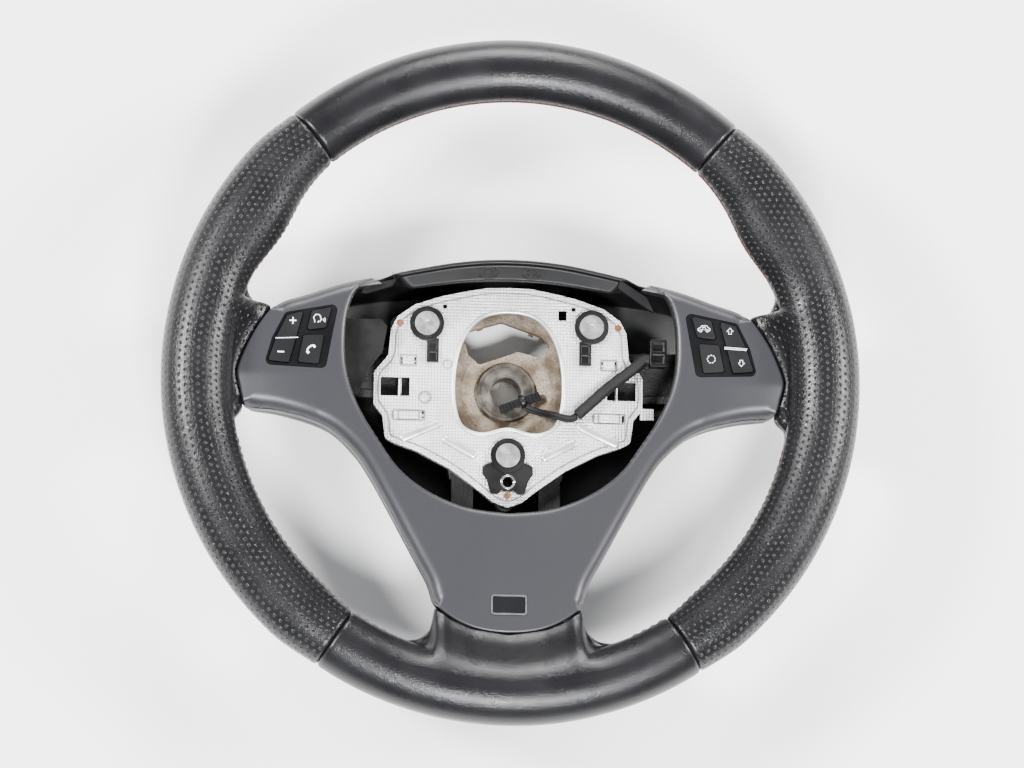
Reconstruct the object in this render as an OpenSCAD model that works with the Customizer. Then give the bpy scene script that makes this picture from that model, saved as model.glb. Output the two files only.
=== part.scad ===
// Car steering wheel with three spokes, its airbag module taken out.
// +Z runs along the column axis towards the driver, +Y is twelve o'clock, and +X is
// three o'clock. The origin is the centre of the column bore on the hub's rear face.

/* [Rim] */
// Diameter of the circle that the middle of the grip follows
rim_d = 341; // [335:1:347]
// Width of the grip across the rim, at the top
grip_w = 34.5; // [33:0.5:36]
// Thickness of the grip from front to back
grip_h = 31; // [29:0.5:33]
// Extra width on each side of the grip along the two side panels
side_swell = 1.8; // [0.5:0.1:2.5]
// Extra bulge of each thumb rest towards the middle
thumb_swell = 4.5; // [0:0.5:5]
// Height of the rim's middle plane above the hub's rear face
rim_z = 72; // [71:0.5:74]
// Thickness of the leather
leather_t = 1.4; // [1:0.1:1.8]
// Width of the groove where two leather edges are sewn together
seam_w = 0.3; // [0.2:0.05:0.5]
// Angle of the two upper cross seams above three o'clock
seam_top_a = 49.4; // [48:0.2:51]
// Angle of the two lower cross seams below three o'clock
seam_low_a = 56.8; // [56:0.2:58]
// Thickness of the leather neck where it meets a spoke
neck_t = 18; // [17:0.5:19]

/* [Armature] */
// Width of the metal ring inside the rim
core_w = 12; // [10:0.5:13]
// Height of the metal ring inside the rim
core_h = 14; // [12:0.5:15]
// Width of each side spoke
side_arm_w = 28; // [24:1:30]
// Width of each of the two lower spokes
low_arm_w = 12; // [10:1:14]
// Distance from the middle line to the middle of each lower spoke
low_arm_x = 24; // [22:1:26]
// Thickness of the hub floor
floor_t = 5; // [4:0.5:5.5]
// Height of the top of the hub floor
floor_z = 25; // [24:0.5:26]
// Radius of the hub boss
boss_r = 20; // [19:0.5:21]
// Height of the hub boss
boss_h = 20; // [19:0.5:20]

/* [Column bore] */
// Radius of the plain pilot at the rear of the column bore
pilot_r = 9.2; // [9.1:0.1:9.5]
// Length of the pilot
pilot_len = 6; // [5:0.5:8]
// Radius of the bore over the tips of its splines
spline_r = 8.4; // [8:0.1:8.6]
// Depth of the splines
spline_depth = 0.7; // [0.5:0.1:0.8]
// Number of splines
spline_count = 36; // [24:2:44]
// Outer radius of the steel sleeve
sleeve_r = 13.5; // [13:0.1:14]
// Radius of the sleeve's seat flange
seat_r = 16; // [15.5:0.1:16.5]
// Thickness of the sleeve's seat flange
seat_t = 2; // [1.5:0.1:2.5]

/* [Horn plate] */
// Thickness of the pressed steel plate
plate_t = 1.5; // [1.2:0.1:1.8]
// Height of the top of the plate
plate_z = 41.5; // [41:0.1:42]
// Depth of the lip bent down around the plate
lip_h = 4; // [3:0.5:4.5]
// Distance from the middle line to each upper guide bolt
bolt_x = 45.5; // [45:0.5:46]
// Height of the upper guide bolts above the middle
bolt_y = 34; // [33.5:0.5:34.5]
// Distance of the lower guide bolt below the middle
low_bolt_y = 38.5; // [38:0.5:39]
// Radius of the shoulder of a guide bolt
shank_r = 3.6; // [3.2:0.1:3.8]
// Radius of the head of a guide bolt
head_r = 6.65; // [6.4:0.05:6.9]
// Thickness of the head of a guide bolt
head_t = 1.4; // [1:0.1:1.8]
// Outer radius of a guide bush
bush_r = 9.5; // [9.2:0.1:9.7]
// Thickness of a bush flange under the bolt head
bush_t = 1.7; // [1.4:0.1:2]
// Travel of the horn plate
horn_travel = 1.5; // [1:0.1:1.6]
// Radius of the hole that takes the airbag's middle pin
pin_hole_r = 2.9; // [2.6:0.1:3]
// Diameter of the wire that catches the airbag's hooks
clip_wire_d = 1.8; // [1.6:0.1:2]
// Diameter of the wire of a horn spring
spring_wire_d = 1.2; // [1:0.1:1.4]

/* [Spoke trim] */
// Wall of the trim
trim_t = 2.6; // [2.2:0.1:3]
// Height of the trim's surface beside the airbag well
trim_z = 62; // [61.5:0.5:63]
// Rise of the surface towards the rim, for each millimetre outwards
trim_slope = 0.09; // [0.08:0.005:0.1]
// Depth of the trim's side walls
skirt_h = 13; // [12:0.5:14]
// Depth of the fold line's drop at the lower outer corner of a side spoke
crease_drop = 4; // [3:0.5:5]

/* [Rear cover] */
// Wall of the rear cover
cover_t = 2.5; // [2.2:0.1:2.8]
// Radius of the cover's opening for the column switch
well_r = 46; // [45:0.5:47]
// Height of the cover's upper wall
cover_top_z = 57; // [56:0.5:58]
// Joint line between the trim and the cover
parting = 0.3; // [0.2:0.05:0.5]

/* [Switches] */
// Clearance around a switch frame
frame_gap = 0.25; // [0.2:0.05:0.4]
// Clearance around a push button
button_gap = 0.35; // [0.25:0.05:0.45]
// Clearance around a rocker
rocker_gap = 0.5; // [0.45:0.05:0.6]
// Travel of a push button
button_travel = 1; // [0.6:0.1:1]
// Height by which a button stands above the trim
button_rise = 0.9; // [0.6:0.1:1.2]
// Width of the blank badge plate
badge_w = 19.4; // [18:0.2:21]
// Height of the blank badge plate
badge_h = 11; // [10:0.2:12]

/* [Lead] */
// Diameter of the taped loom
loom_d = 6.6; // [6:0.1:7]
// Diameter of each loose wire
wire_d = 2; // [1.6:0.1:2.2]
// Length of the connector
plug_len = 23.5; // [22:0.5:25]

/* [Hidden] */
$fn = 64;
eps = 0.01;
rim_r = rim_d / 2;

// Outline of the spokes, right half, from six o'clock round to twelve
OUTLINE = [[0, -137.7], [10, -137], [20, -134.8], [30, -130.2], [40, -122], [43, -112],
    [50.5, -98], [76.4, -51.4], [84, -40.7], [97.5, -28.3], [111, -22.5], [129, -18.5],
    [144.3, -16.5], [147.5, -5.7], [149, 0.6], [146, 10.7], [139.5, 24.5], [128, 39.3],
    [112.6, 45.3], [90, 53.3], [66, 58.6], [50, 62.2], [33, 65.6], [16, 67.7], [0, 68.3]];
// Edge of the airbag well in the trim, right half
WELL = [[0, -72.5], [24, -69.3], [46, -60], [60.4, -48.8], [71.5, -33.7], [82.6, -15.8],
    [89.2, 2.2], [90.9, 20.4], [89.1, 38.8], [84, 50.4], [77, 54.9], [70, 57.3], [0, 66]];
// Angles at which the spoke outline is sampled, right half
LOW_A = [-90, -84, -79, -75.5, -73, -71, -66, -59, -51, -43, -36, -30, -25, -20, -15.5,
    -12, -9];
ARM_A = [-7.2, -6.2, -4, 0, 4, 8, 12, 15, 16.6, 18.2];
HORN_A = [21, 25, 29, 33, 36.5];
TOP_A = [40, 46, 54, 64, 76, 90];
// Where the trim's side walls give way to the leather necks
arm_low_a = -6.4;
arm_top_a = 15.2;
leg_a = -73.4;

function clamp01(t) = min(1, max(0, t));
function ease(t) = let (c = clamp01(t)) c * c * (3 - 2 * c);
function mix(a, b, t) = a + (b - a) * t;
function cross2(a, b) = a[0] * b[1] - a[1] * b[0];
function ring_hit(u, a, b) = cross2(a, b - a) / cross2(u, b - a);
function reach_one(phi, pts) =
    let (u = [abs(cos(phi)), sin(phi)])
    [for (i = [0:len(pts) - 2])
        if (cross2(pts[i], u) >= -eps && cross2(u, pts[i + 1]) >= -eps)
            ring_hit(u, pts[i], pts[i + 1])][0];
// Distance from the axis to an outline along one direction, its corners eased
function reach(phi, pts) =
    (reach_one(phi - 1, pts) + 2 * reach_one(phi, pts) + reach_one(phi + 1, pts)) / 4;
// Angle of a direction above three o'clock, the same on both sides
function fold(phi) = asin(sin(phi));
function polar(r, phi, z) = [r * cos(phi), r * sin(phi), z];
function mirrored(list) =
    concat(list, [for (i = [len(list) - 2:-1:0]) 180 - list[i]]);

// Skins closed loops of equal length into one solid, open ended or joined as a ring.
// With cross set, each cell is split along its other diagonal.
module loft(loops, closed = false, cross = false) {
    count = len(loops);
    n = len(loops[0]);
    points = [for (loop = loops) each loop];
    last = closed ? count - 1 : count - 2;
    sides = [for (i = [0:last]) for (j = [0:n - 1])
        let (a = i * n + j, b = i * n + (j + 1) % n, k = ((i + 1) % count) * n,
            c = k + (j + 1) % n, d = k + j)
        each cross ? [[a, b, d], [b, c, d]] : [[a, b, c], [a, c, d]]];
    caps = closed ? [] : [[for (j = [n - 1:-1:0]) j],
        [for (j = [0:n - 1]) (count - 1) * n + j]];
    polyhedron(points = points, faces = concat(sides, caps), convexity = 8);
}

module both_sides() {
    children();
    mirror([1, 0, 0]) children();
}

// Section of the grip
side_blend = 9;
thumb_a = 31;
thumb_span = 13;
neck_end_gap = 0.3;
neck_drop = 0.2;
slit_a = 178.5;
neck_from = 105;
arm_gap = 0.4;
SKIN_A = [slit_a, 160, 145, 125, neck_from, 80, 52, 26, 0];
LINING_A = [slit_a, 160, 145, 125, 100, 62, 22];
SKIN = concat(SKIN_A, [for (i = [len(SKIN_A) - 2:-1:0]) -SKIN_A[i]]);
LINING = concat(LINING_A, [for (i = [len(LINING_A) - 1:-1:0]) -LINING_A[i]]);

function is_side(phi) =
    let (f = fold(phi))
    ease((seam_top_a - f) / side_blend) * ease((f + seam_low_a) / side_blend);
function thumb(phi) =
    let (d = abs(fold(phi) - thumb_a) / thumb_span)
    d < 1 ? thumb_swell * pow(cos(90 * d), 2) : 0;
function half_w(phi) = grip_w / 2 + side_swell * is_side(phi);
function half_h(phi) = grip_h / 2 + 0.5 * side_swell * is_side(phi);
function inner_half_w(phi) = half_w(phi) + thumb(phi);
// Height of the trim's outer surface over a point
function spread(x, y) = pow(pow(abs(x), 4) + pow(min(y, 0), 4), 0.25);
function crease(x, y) =
    crease_drop * clamp01((1 - y) / 18) * clamp01((abs(x) - 105) / 42);
function trim_top(x, y) = trim_z + trim_slope * (spread(x, y) - 90) - crease(x, y);
// How far a neck runs in from the grip, zero between the spokes; an inset narrows it
function neck_share(phi, inset = 0) =
    let (f = fold(phi), shift = inset / rim_r * 180 / PI)
    f < leg_a + 4 ? 1 - ease((f + shift - leg_a) / 3.2)
        : (1 - ease((f + shift - arm_top_a) / 4))
            * ease((f - shift - arm_low_a + 3.4) / 3.2);
function neck_run(phi, inset = 0) =
    let (to = rim_r - inner_half_w(phi) - reach(phi, OUTLINE) - neck_end_gap)
    max(0, neck_share(phi, inset) * to);
function neck_mid(phi) =
    let (r = reach(phi, OUTLINE))
    trim_top(r * cos(phi), r * sin(phi)) - neck_drop - neck_t / 2;

// Point of the grip's section, with its outer face moved in by an inset
function grip_point(phi, psi, inset) =
    let (
        w = clamp01(neck_run(phi) / 3),
        a = (cos(psi) < 0 ? inner_half_w(phi) : half_w(phi)) - inset,
        b = half_h(phi) - inset,
        plain = [rim_r + a * cos(psi), rim_z + b * sin(psi)],
        s = sign(psi),
        k = (abs(psi) - neck_from) / (slit_a - neck_from),
        root = [rim_r + a * cos(neck_from), rim_z + s * b * sin(neck_from)],
        tip_r = rim_r - inner_half_w(phi) - neck_run(phi, inset) + inset,
        full = 0.5 + 0.5 * ease(neck_share(phi)),
        tip_z = neck_mid(phi) + s * (neck_t / 2 * full - inset),
        along = lookup(k, [[0, 0], [0.28, 0.34], [0.55, 0.74], [0.75, 1], [1, 1]]),
        down = lookup(k, [[0, 0], [0.28, 0.62], [0.55, 0.98], [0.75, 1], [1, 1]]),
        z = k > 0.9 ? neck_mid(phi) + s * seam_w / 2
            : mix(root[1], tip_z, down) - (k > 0.7 ? s * 1.3 : 0),
        neck = [mix(root[0], tip_r, along), z]
    )
    k <= 0 ? plain
        : [mix(plain[0], neck[0], w), mix(plain[1], neck[1], w)];
function grip_loop(phi, dirs, inset) =
    [for (psi = dirs) let (p = grip_point(phi, psi, inset)) polar(p[0], phi, p[1])];

// Angles at which the grip is sampled, right half
RIM_A = [-90, -83, -77.5, -74.6, -73.3, -72.3, -71.2, -69.8, -67, -62];
SIDE_A = [-51, -45, -38, -30, -22, -15, -11, -9.4, -8.4, -7.2, -6, -3, 0, 4, 8, 12, 14.4,
    15.8, 17, 18.2, 19.6, 22, 26, 31, 36, 41, 45];
CROWN_A = [55, 62, 69, 76, 83, 90];
function half_seam(phi_sign) = phi_sign * seam_w / 2 / rim_r * 180 / PI;

// A panel, open at its necks where the armature's arms run in
module leather_panel(angles) {
    difference() {
        loft([for (phi = angles) concat(grip_loop(phi, SKIN, 0),
            grip_loop(phi, [for (i = [len(LINING) - 1:-1:0]) LINING[i]], leather_t))]);
        spoke_arms(arm_gap);
    }
}

module leather_side() {
    leather_panel(concat([-seam_low_a + half_seam(1)], SIDE_A,
        [seam_top_a - half_seam(1)]));
}

module leather_right() {
    color("#1d1d20") leather_side();
}

module leather_left() {
    color("#1d1d20") mirror([1, 0, 0]) leather_side();
}

module leather_bottom() {
    color("#26262a") both_sides()
        leather_panel(concat(RIM_A, [-seam_low_a - half_seam(1)]));
}

module leather_top() {
    half = 90 - seam_top_a - half_seam(1);
    outer = [for (psi = [slit_a, 165, each [150:-15:-150], -165, -slit_a])
        [rim_r + grip_w / 2 * cos(psi), grip_h / 2 * sin(psi)]];
    inner = [for (psi = [-slit_a, -165, each [-150:15:150], 165, slit_a])
        [rim_r + (grip_w / 2 - leather_t) * cos(psi), (grip_h / 2 - leather_t) * sin(psi)]];
    color("#26262a") translate([0, 0, rim_z]) rotate([0, 0, 90 - half])
        rotate_extrude(angle = 2 * half, $fn = 96) polygon(concat(outer, inner));
}

foam_gap = 0.8;
// Its cells are split like those of the leather's inner face, so the two stay apart
module rim_foam() {
    angles = concat(RIM_A, [-seam_low_a], SIDE_A, [seam_top_a], CROWN_A);
    color("#2b2a28") difference() {
        both_sides() loft([for (phi = angles) grip_loop(phi, LINING, leather_t + foam_gap)],
            cross = true);
        core_ring();
        spoke_arms();
    }
}

// Die cast armature
ear_x = 60.3;
ear_y = 34.2;
low_ear_y = 60.6;
ear_r = 5;
contact_gap = 0.3;
rivet_drop = 3;
ear_top = plate_z - plate_t - rivet_drop - horn_travel - contact_gap;
post_r = 7.5;
post_top = 29;
screw_x = 62;
screw_y = 5;
low_screw_y = 62;
screw_post_r = 5;
screw_r = 2;
screw_len = 12;
thread_r = 2.6;
thread_len = 8;
floor_bottom = floor_z - floor_t;
arm_t = 8;
ARM_LOW = [[40, 20], [100, 26], [130, 45.5], [137, 51.2], [150, 57.5]];
ARM_TOP = [[152, 63.5], [140, 58.5], [132, 52], [104, 33.5], [40, 28]];
LEG_LOW = [[40, 20], [88, 25], [118, 43], [126, 50.6], [138, 55], [152, 59.5]];
LEG_TOP = [[152, 66], [139, 62.5], [124, 57], [108, 45.5], [92, 33.5], [40, 28]];

function floor_outline() = [[0, 48.5], [28, 47.5], [47, 43.5], [56, 30], [56, 10], [53, -14],
    [34, -32], [31, -50], [20, -54], [0, -54]];

module mirrored_polygon(half) {
    polygon(concat(half, [for (i = [len(half) - 1:-1:0]) [-half[i][0], half[i][1]]]));
}

core_corner = 2.5;
module core_ring() {
    w = core_w / 2;
    h = core_h / 2;
    c = core_corner;
    translate([0, 0, rim_z]) rotate_extrude($fn = 128) translate([rim_r, 0])
        polygon([[w - c, -h], [w, c - h], [w, h - c], [w - c, h],
            [c - w, h], [-w, h - c], [-w, c - h], [c - w, -h]]);
}

// One spoke beam running out along +X, as wide as asked, with room left around it
module beam(low, top, width, room) {
    end_low = [rim_r - core_w / 4, rim_z - core_h / 2 + 0.5];
    end_top = [rim_r - core_w / 4, rim_z + core_h / 2 - 2];
    rotate([90, 0, 0]) translate([0, 0, -width / 2 - room]) linear_extrude(width + 2 * room)
        offset(delta = room) polygon(concat(low, [end_low, end_top], top));
}

arm_y = 8;
module spoke_arms(room = 0) {
    both_sides() {
        translate([0, arm_y, 0]) beam(ARM_LOW, ARM_TOP, side_arm_w, room);
        translate([low_arm_x, 0, 0]) rotate([0, 0, -90])
            beam(LEG_LOW, LEG_TOP, low_arm_w, room);
    }
}

module guide_places() {
    both_sides() translate([bolt_x, bolt_y, 0]) children();
    translate([0, -low_bolt_y, 0]) children();
}

module screw_places() {
    both_sides() translate([screw_x, screw_y, 0]) children();
    translate([0, -low_screw_y, 0]) children();
}

module ear(x, y, towards) {
    translate([x, y, floor_bottom]) cylinder(r = ear_r, h = ear_top - floor_bottom);
    hull() {
        translate([x, y, floor_bottom]) cylinder(r = ear_r, h = floor_t, $fn = 32);
        translate([towards[0], towards[1], floor_bottom])
            cylinder(r = ear_r, h = floor_t, $fn = 32);
    }
}

module armature() {
    screw_post_z = cover_inside(screw_x + screw_post_r, 0) + 0.1;
    color("#9a8468") difference() {
        union() {
            core_ring();
            spoke_arms();
            cylinder(r = boss_r, h = boss_h);
            hub_floor();
            hub_ribs();
            guide_places() translate([0, 0, floor_bottom])
                cylinder(r = post_r, h = post_top - floor_bottom);
            both_sides() ear(ear_x, ear_y, [50, 30]);
            ear(0, -low_ear_y, [0, -50]);
            screw_places() translate([0, 0, screw_post_z])
                cylinder(r = screw_post_r, h = floor_z - screw_post_z);
        }
        translate([0, 0, -eps]) cylinder(r = sleeve_r, h = floor_z + 2 * eps);
        translate([0, 0, boss_h]) cylinder(r1 = seat_r + 0.6, r2 = seat_r + 9,
            h = floor_z - boss_h + eps);
        kidney();
        guide_places() translate([0, 0, post_top - thread_len])
            cylinder(r = thread_r, h = thread_len + eps);
        screw_places() translate([0, 0, screw_post_z - eps])
            cylinder(r = screw_r, h = screw_len - cover_t);
        both_sides() translate([80, arm_y, 0]) arm_pocket();
    }
}

module arm_pocket() {
    translate([-18, -side_arm_w / 2 + 4, 29.6]) cube([34, side_arm_w - 8, 6]);
}

module hub_floor() {
    translate([0, 0, floor_bottom]) linear_extrude(floor_t)
        mirrored_polygon(floor_outline());
    translate([0, 0, floor_bottom]) linear_extrude(post_top - floor_bottom - 1)
        difference() {
            mirrored_polygon(floor_outline());
            offset(delta = -3.2) mirrored_polygon(floor_outline());
        }
}

module kidney() {
    translate([0, 0, -1]) linear_extrude(floor_z + 2)
        offset(r = 2.5, $fn = 24) offset(delta = -2.5)
            polygon([[-24.5, 32.5], [-3, 39], [18.5, 31.6], [24, 26.5], [20.5, 19],
                [6, 22.6], [-15.5, 15], [-21.5, 20]]);
}

rib_count = 8;
module hub_ribs() {
    for (i = [0:rib_count - 1]) rotate([0, 0, i * 360 / rib_count + 22.5])
        rotate([90, 0, 0]) translate([0, 0, -1.5]) linear_extrude(3)
            polygon([[boss_r - 1, 6], [boss_r - 1, floor_bottom + 1],
                [42, floor_bottom + 1], [42, floor_bottom - 3]]);
}

module spline_sleeve() {
    top = boss_h + seat_t;
    color("#6f6b66") difference() {
        union() {
            cylinder(r = sleeve_r, h = boss_h + eps);
            translate([0, 0, boss_h]) cylinder(r = seat_r, h = seat_t);
        }
        translate([0, 0, -1]) cylinder(r = spline_r, h = top + 2);
        translate([0, 0, -1]) cylinder(r = pilot_r, h = pilot_len + 1);
        translate([0, 0, top - 1.2]) cylinder(r1 = spline_r, r2 = pilot_r + 0.6,
            h = 1.2 + eps);
        for (i = [0:spline_count - 1]) rotate([0, 0, i * 360 / spline_count])
            translate([spline_r + spline_depth - 1.2, 0, pilot_len - eps])
                rotate([0, 0, 45]) cube([0.85, 0.85, top]);
        translate([0, 0, top - 0.6]) difference() {
            cylinder(r = seat_r - 1.4, h = 1);
            translate([0, 0, -1]) cylinder(r = seat_r - 2, h = 3);
        }
    }
}

// Spoke trim
well_lip_h = 9;
trim_shoulder = 7.5;
trim_edge = 1.2;
end_skirt = 3.2;
function has_wall(phi) =
    let (f = fold(phi)) 1 - (f < leg_a + 2 ? 1 - ease((f - leg_a) / 2)
        : ease((f - arm_low_a + 0.8) / 1.6) * (1 - ease((f - arm_top_a) / 2)));
function trim_skirt(phi) = mix(end_skirt, skirt_h, has_wall(phi));
function trim_foot(phi) =
    let (r = reach(phi, OUTLINE))
    trim_top(r * cos(phi), r * sin(phi)) - trim_skirt(phi);
function trim_loop(phi) =
    let (
        ro = reach(phi, OUTLINE),
        ri = min(reach(phi, WELL), ro - 2 * trim_t - 1.5),
        s = min(mix(trim_edge, trim_shoulder, has_wall(phi)), (ro - ri) / 2.6),
        h = trim_skirt(phi),
        zo = trim_foot(phi) + h,
        t = trim_t,
        flat = [for (f = [0, 0.33, 0.66, 1]) mix(ri + 2.2, ro - s, f)],
        up = [for (r = flat) [r, trim_top(r * cos(phi), r * sin(phi))]],
        outer = concat([[ri, up[0][1] - well_lip_h], [ri, up[0][1] - 1.8]], up,
            [[ro - 0.42 * s, zo - 0.18 * min(s, h)], [ro - 0.1 * s, zo - 0.62 * min(s, h)],
            [ro, zo - h]]),
        inner = [[ro - t, zo - h], [ro - t - 0.25 * s, zo - 0.5 * min(s, h) - 0.6 * t],
            [ro - s - 0.4 * t, up[3][1] - t], [flat[1], up[1][1] - t],
            [ri + t, up[0][1] - t - 0.6], [ri + t, up[0][1] - well_lip_h]]
    )
    [for (p = concat(outer, inner)) polar(p[0], phi, p[1])];

module spoke_trim() {
    half = concat(LOW_A, ARM_A, HORN_A);
    right = [for (i = [len(half) - 1:-1:0]) half[i]];
    angles = concat(right, [for (i = [1:len(half) - 1]) -180 - half[i]]);
    color("#5c5d61") difference() {
        loft([for (i = [len(angles) - 1:-1:0]) trim_loop(angles[i])]);
        both_sides() pod_place() translate([0, 0, -10]) linear_extrude(20)
            pod_outline();
        badge_place() translate([0, 0, -0.8]) linear_extrude(5)
            offset(delta = 0.15) badge_outline();
    }
}

badge_y = -122.5;
badge_t = 1.3;
module badge_place() {
    translate([0, badge_y, trim_top(0, badge_y)])
        rotate([-atan(trim_slope), 0, 0]) children();
}

module badge_outline() {
    offset(r = 1.6, $fn = 24) square([badge_w - 3.2, badge_h - 3.2], center = true);
}

module badge_plate() {
    color("#101012") badge_place() translate([0, 0, -0.8]) difference() {
        linear_extrude(badge_t) badge_outline();
        translate([0, 0, badge_t - 0.3]) linear_extrude(1)
            offset(delta = -0.9) badge_outline();
    }
}

// Rear cover
well_edge_z = 8.2;
function cover_floor(r) = 9 + 0.0042 * pow(max(0, r - 50), 2);
function cover_mid(ro) = (46 + ro) / 2;
// Height of the cover's inner face between the well's edge and the middle of a spoke
function cover_inside(r, phi) =
    let (near = well_r + 7 - 0.7 * cover_t, mid = cover_mid(reach(phi, OUTLINE)))
    mix(well_edge_z, cover_floor(mid), (r - near) / (mid - near)) + cover_t;
function is_crown(phi) = ease((fold(phi) - 38) / 6);
shelf_w = 8.5;
function cover_rim(phi) =
    let (edge = mix(neck_mid(phi) - neck_t / 2 + 2, trim_foot(phi) - parting, has_wall(phi)))
    mix(edge, cover_top_z, is_crown(phi));
function cover_loop(phi) =
    let (
        ro = reach(phi, OUTLINE),
        top = cover_rim(phi),
        base = min(cover_floor(ro - 9), top - 7),
        h = top - base,
        c = cover_t,
        k = is_crown(phi) * shelf_w,
        d = min(12, 0.45 * h) / 12,
        mid = cover_mid(ro),
        zm = min(cover_floor(mid), base),
        outer = [[well_r, 0.5], [well_r + 3.5, 0.5], [well_r + 7, well_edge_z], [mid, zm],
            [ro - 9, base], [ro - 2.6, base + 0.3 * h], [ro, base + 0.72 * h], [ro, top]],
        inner = [[ro - c, top], [ro - c, top - 3 * d], [ro - c - k, top - 3.6 * d],
            [ro - c - k, top - 9 * d], [ro - c - 0.2 * k, top - 12 * d],
            [ro - c - 2.6, base + 0.3 * h + 1], [ro - 9 - 0.4 * c, base + c],
            [mid, zm + c], [well_r + 7 - 0.7 * c, well_edge_z + c], [well_r + 3.5 - c, 3.2],
            [well_r, 3.2]]
    )
    [for (p = concat(outer, inner)) polar(p[0], phi, p[1])];

module rear_cover() {
    whole = mirrored(concat(LOW_A, ARM_A, HORN_A, TOP_A));
    angles = [for (i = [0:len(whole) - 2]) whole[i]];
    color("#232326") difference() {
        loft([for (phi = angles) cover_loop(phi)], true);
        screw_places() translate([0, 0, -1])
            cylinder(r = screw_r + 0.25, h = 30);
    }
}

module rear_cover_screws() {
    z = cover_floor(screw_x);
    color("#8d8f93") screw_places() {
        translate([0, 0, z - 0.3]) cylinder(r = screw_r, h = screw_len - 0.6);
        difference() {
            translate([0, 0, z - 2.7]) cylinder(r = 4, h = 2.4 + eps);
            translate([0, 0, z - 3]) cylinder(r = 1.4, h = 1.6, $fn = 6);
        }
    }
}

// Horn plate and what it carries
PLATE = [[0, 55.3], [13, 54.8], [26, 52.3], [38, 49.5], [52.5, 44.5], [61.5, 38], [65, 31],
    [66.5, 16], [74, 6.6], [74, -11.4], [69, -17.5], [67.5, -30], [62.7, -32.5],
    [50, -36.8], [32, -46], [18, -56], [8, -64], [0, -67]];
WINDOW = [[0, 42], [14.7, 39], [24.5, 28.5], [29.8, 11], [29.8, -11], [25.5, -22.8],
    [15, -27], [5, -24.6], [0, -23.4]];
hook_x = 62.4;
hook_y = -1.3;
hook_w = 16;
hook_h = 10.4;
clip_x = 59.8;
clip_top_y = 13.4;
clip_low_y = -16.6;
plate_bottom = plate_z - plate_t;
clip_z = plate_bottom - clip_wire_d / 2 - 0.15;
bridge_z = clip_z - clip_wire_d / 2 - 0.15;
bridge_t = 1.2;
lug_h = 3.6;
pin_y = -53.2;
bush_neck_r = 6;
bush_gap = 0.2;
spring_len = 6.5;
bush_foot = post_top + spring_len;

module plate_outline() {
    offset(r = 3, $fn = 24) offset(delta = -3) mirrored_polygon(PLATE);
}

module plate_window() {
    offset(r = -4, $fn = 24) offset(delta = 4) mirrored_polygon(WINDOW);
}

module slot(w, h, x, y) {
    translate([x, y]) square([w, h], center = true);
}

// A lug pressed down out of the plate under a leg of the clip, its own leg on one side
module lug(x, y, w, side) {
    leg = 1;
    translate([x - w / 2, y - lug_h / 2, bridge_z - bridge_t]) cube([w, lug_h, bridge_t]);
    translate([x - w / 2, y + side * (lug_h + leg) / 2 - leg / 2, bridge_z - bridge_t])
        cube([w, leg, plate_bottom - bridge_z + bridge_t + eps]);
}

module horn_plate() {
    color("#c9cacc") difference() {
        union() {
            translate([0, 0, plate_bottom]) linear_extrude(plate_t) difference() {
                plate_outline();
                plate_window();
                both_sides() {
                    slot(hook_w, hook_h, hook_x, hook_y);
                    slot(1.2, 4, 51.6, clip_top_y);
                    slot(1.2, 4, 59, clip_top_y);
                    slot(1.2, 4, 47, clip_low_y);
                    slot(1.2, 4, 63.4, clip_low_y);
                    slot(2.3, 2.3, 35.6, 44);
                }
                slot(4.6, 5.6, 29.4, 40.4);
            }
            translate([0, 0, plate_bottom - lip_h]) linear_extrude(lip_h + eps)
                difference() {
                    plate_outline();
                    offset(delta = -plate_t) plate_outline();
                }
            translate([0, 0, plate_bottom - 2]) linear_extrude(2 + eps) difference() {
                offset(delta = plate_t) plate_window();
                plate_window();
            }
            both_sides() {
                lug(55.4, clip_top_y, 7, 1);
                lug(55.2, clip_low_y, 15, -1);
                bead(39.5, -20.8, 58.5, -28.7);
                bead(20, -37, 35, -30);
            }
            for (x = [-3.6, 3.6]) translate([x, 49.3, plate_z - eps])
                linear_extrude(0.5) difference() {
                    square([5.4, 4.4], center = true);
                    square([3.6, 1.6], center = true);
                }
            translate([72.8, -16.8, plate_bottom]) cube([7.4, 6.2, plate_t]);
            translate([-33.8, 11.7, plate_z - eps]) cylinder(r = 2, h = 0.7);
        }
        guide_places() translate([0, 0, plate_bottom - 1])
            cylinder(r = bush_neck_r + bush_gap, h = plate_t + 2);
        translate([0, pin_y, plate_bottom - 1])
            cylinder(r = eyelet_r + bush_gap, h = plate_t + 2);
        rivet_places() translate([0, 0, plate_bottom - 1])
            cylinder(r = rivet_r, h = plate_t + 2);
        rivet_places() translate([0, 0, plate_bottom - lip_h - 1])
            cylinder(r = ear_r + 0.5, h = lip_h + 1);
        translate([-45.8, -6.8, plate_z - 0.7]) cylinder(r = 3.1, h = 1);
    }
}

// A raised stiffening bead along a line
module bead(x1, y1, x2, y2) {
    run = sqrt(pow(x2 - x1, 2) + pow(y2 - y1, 2));
    translate([x1, y1, plate_z - eps]) rotate([0, 0, atan2(y2 - y1, x2 - x1)])
        linear_extrude(0.7) union() {
            translate([0, -1.6]) square([run, 3.2]);
            circle(r = 1.6, $fn = 24);
            translate([run, 0]) circle(r = 1.6, $fn = 24);
        }
}

rivet_r = 1.4;
module rivet_places() {
    both_sides() translate([ear_x, ear_y, 0]) children();
    translate([0, -low_ear_y, 0]) children();
}

module contact_rivets() {
    color("#b86f3c") rivet_places() {
        translate([0, 0, plate_bottom - rivet_drop])
            cylinder(r = rivet_r, h = plate_t + rivet_drop);
        translate([0, 0, plate_bottom - rivet_drop]) cylinder(r = 2.4, h = rivet_drop);
        translate([0, 0, plate_z]) cylinder(r = 1.9, h = 0.5);
    }
}

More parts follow.
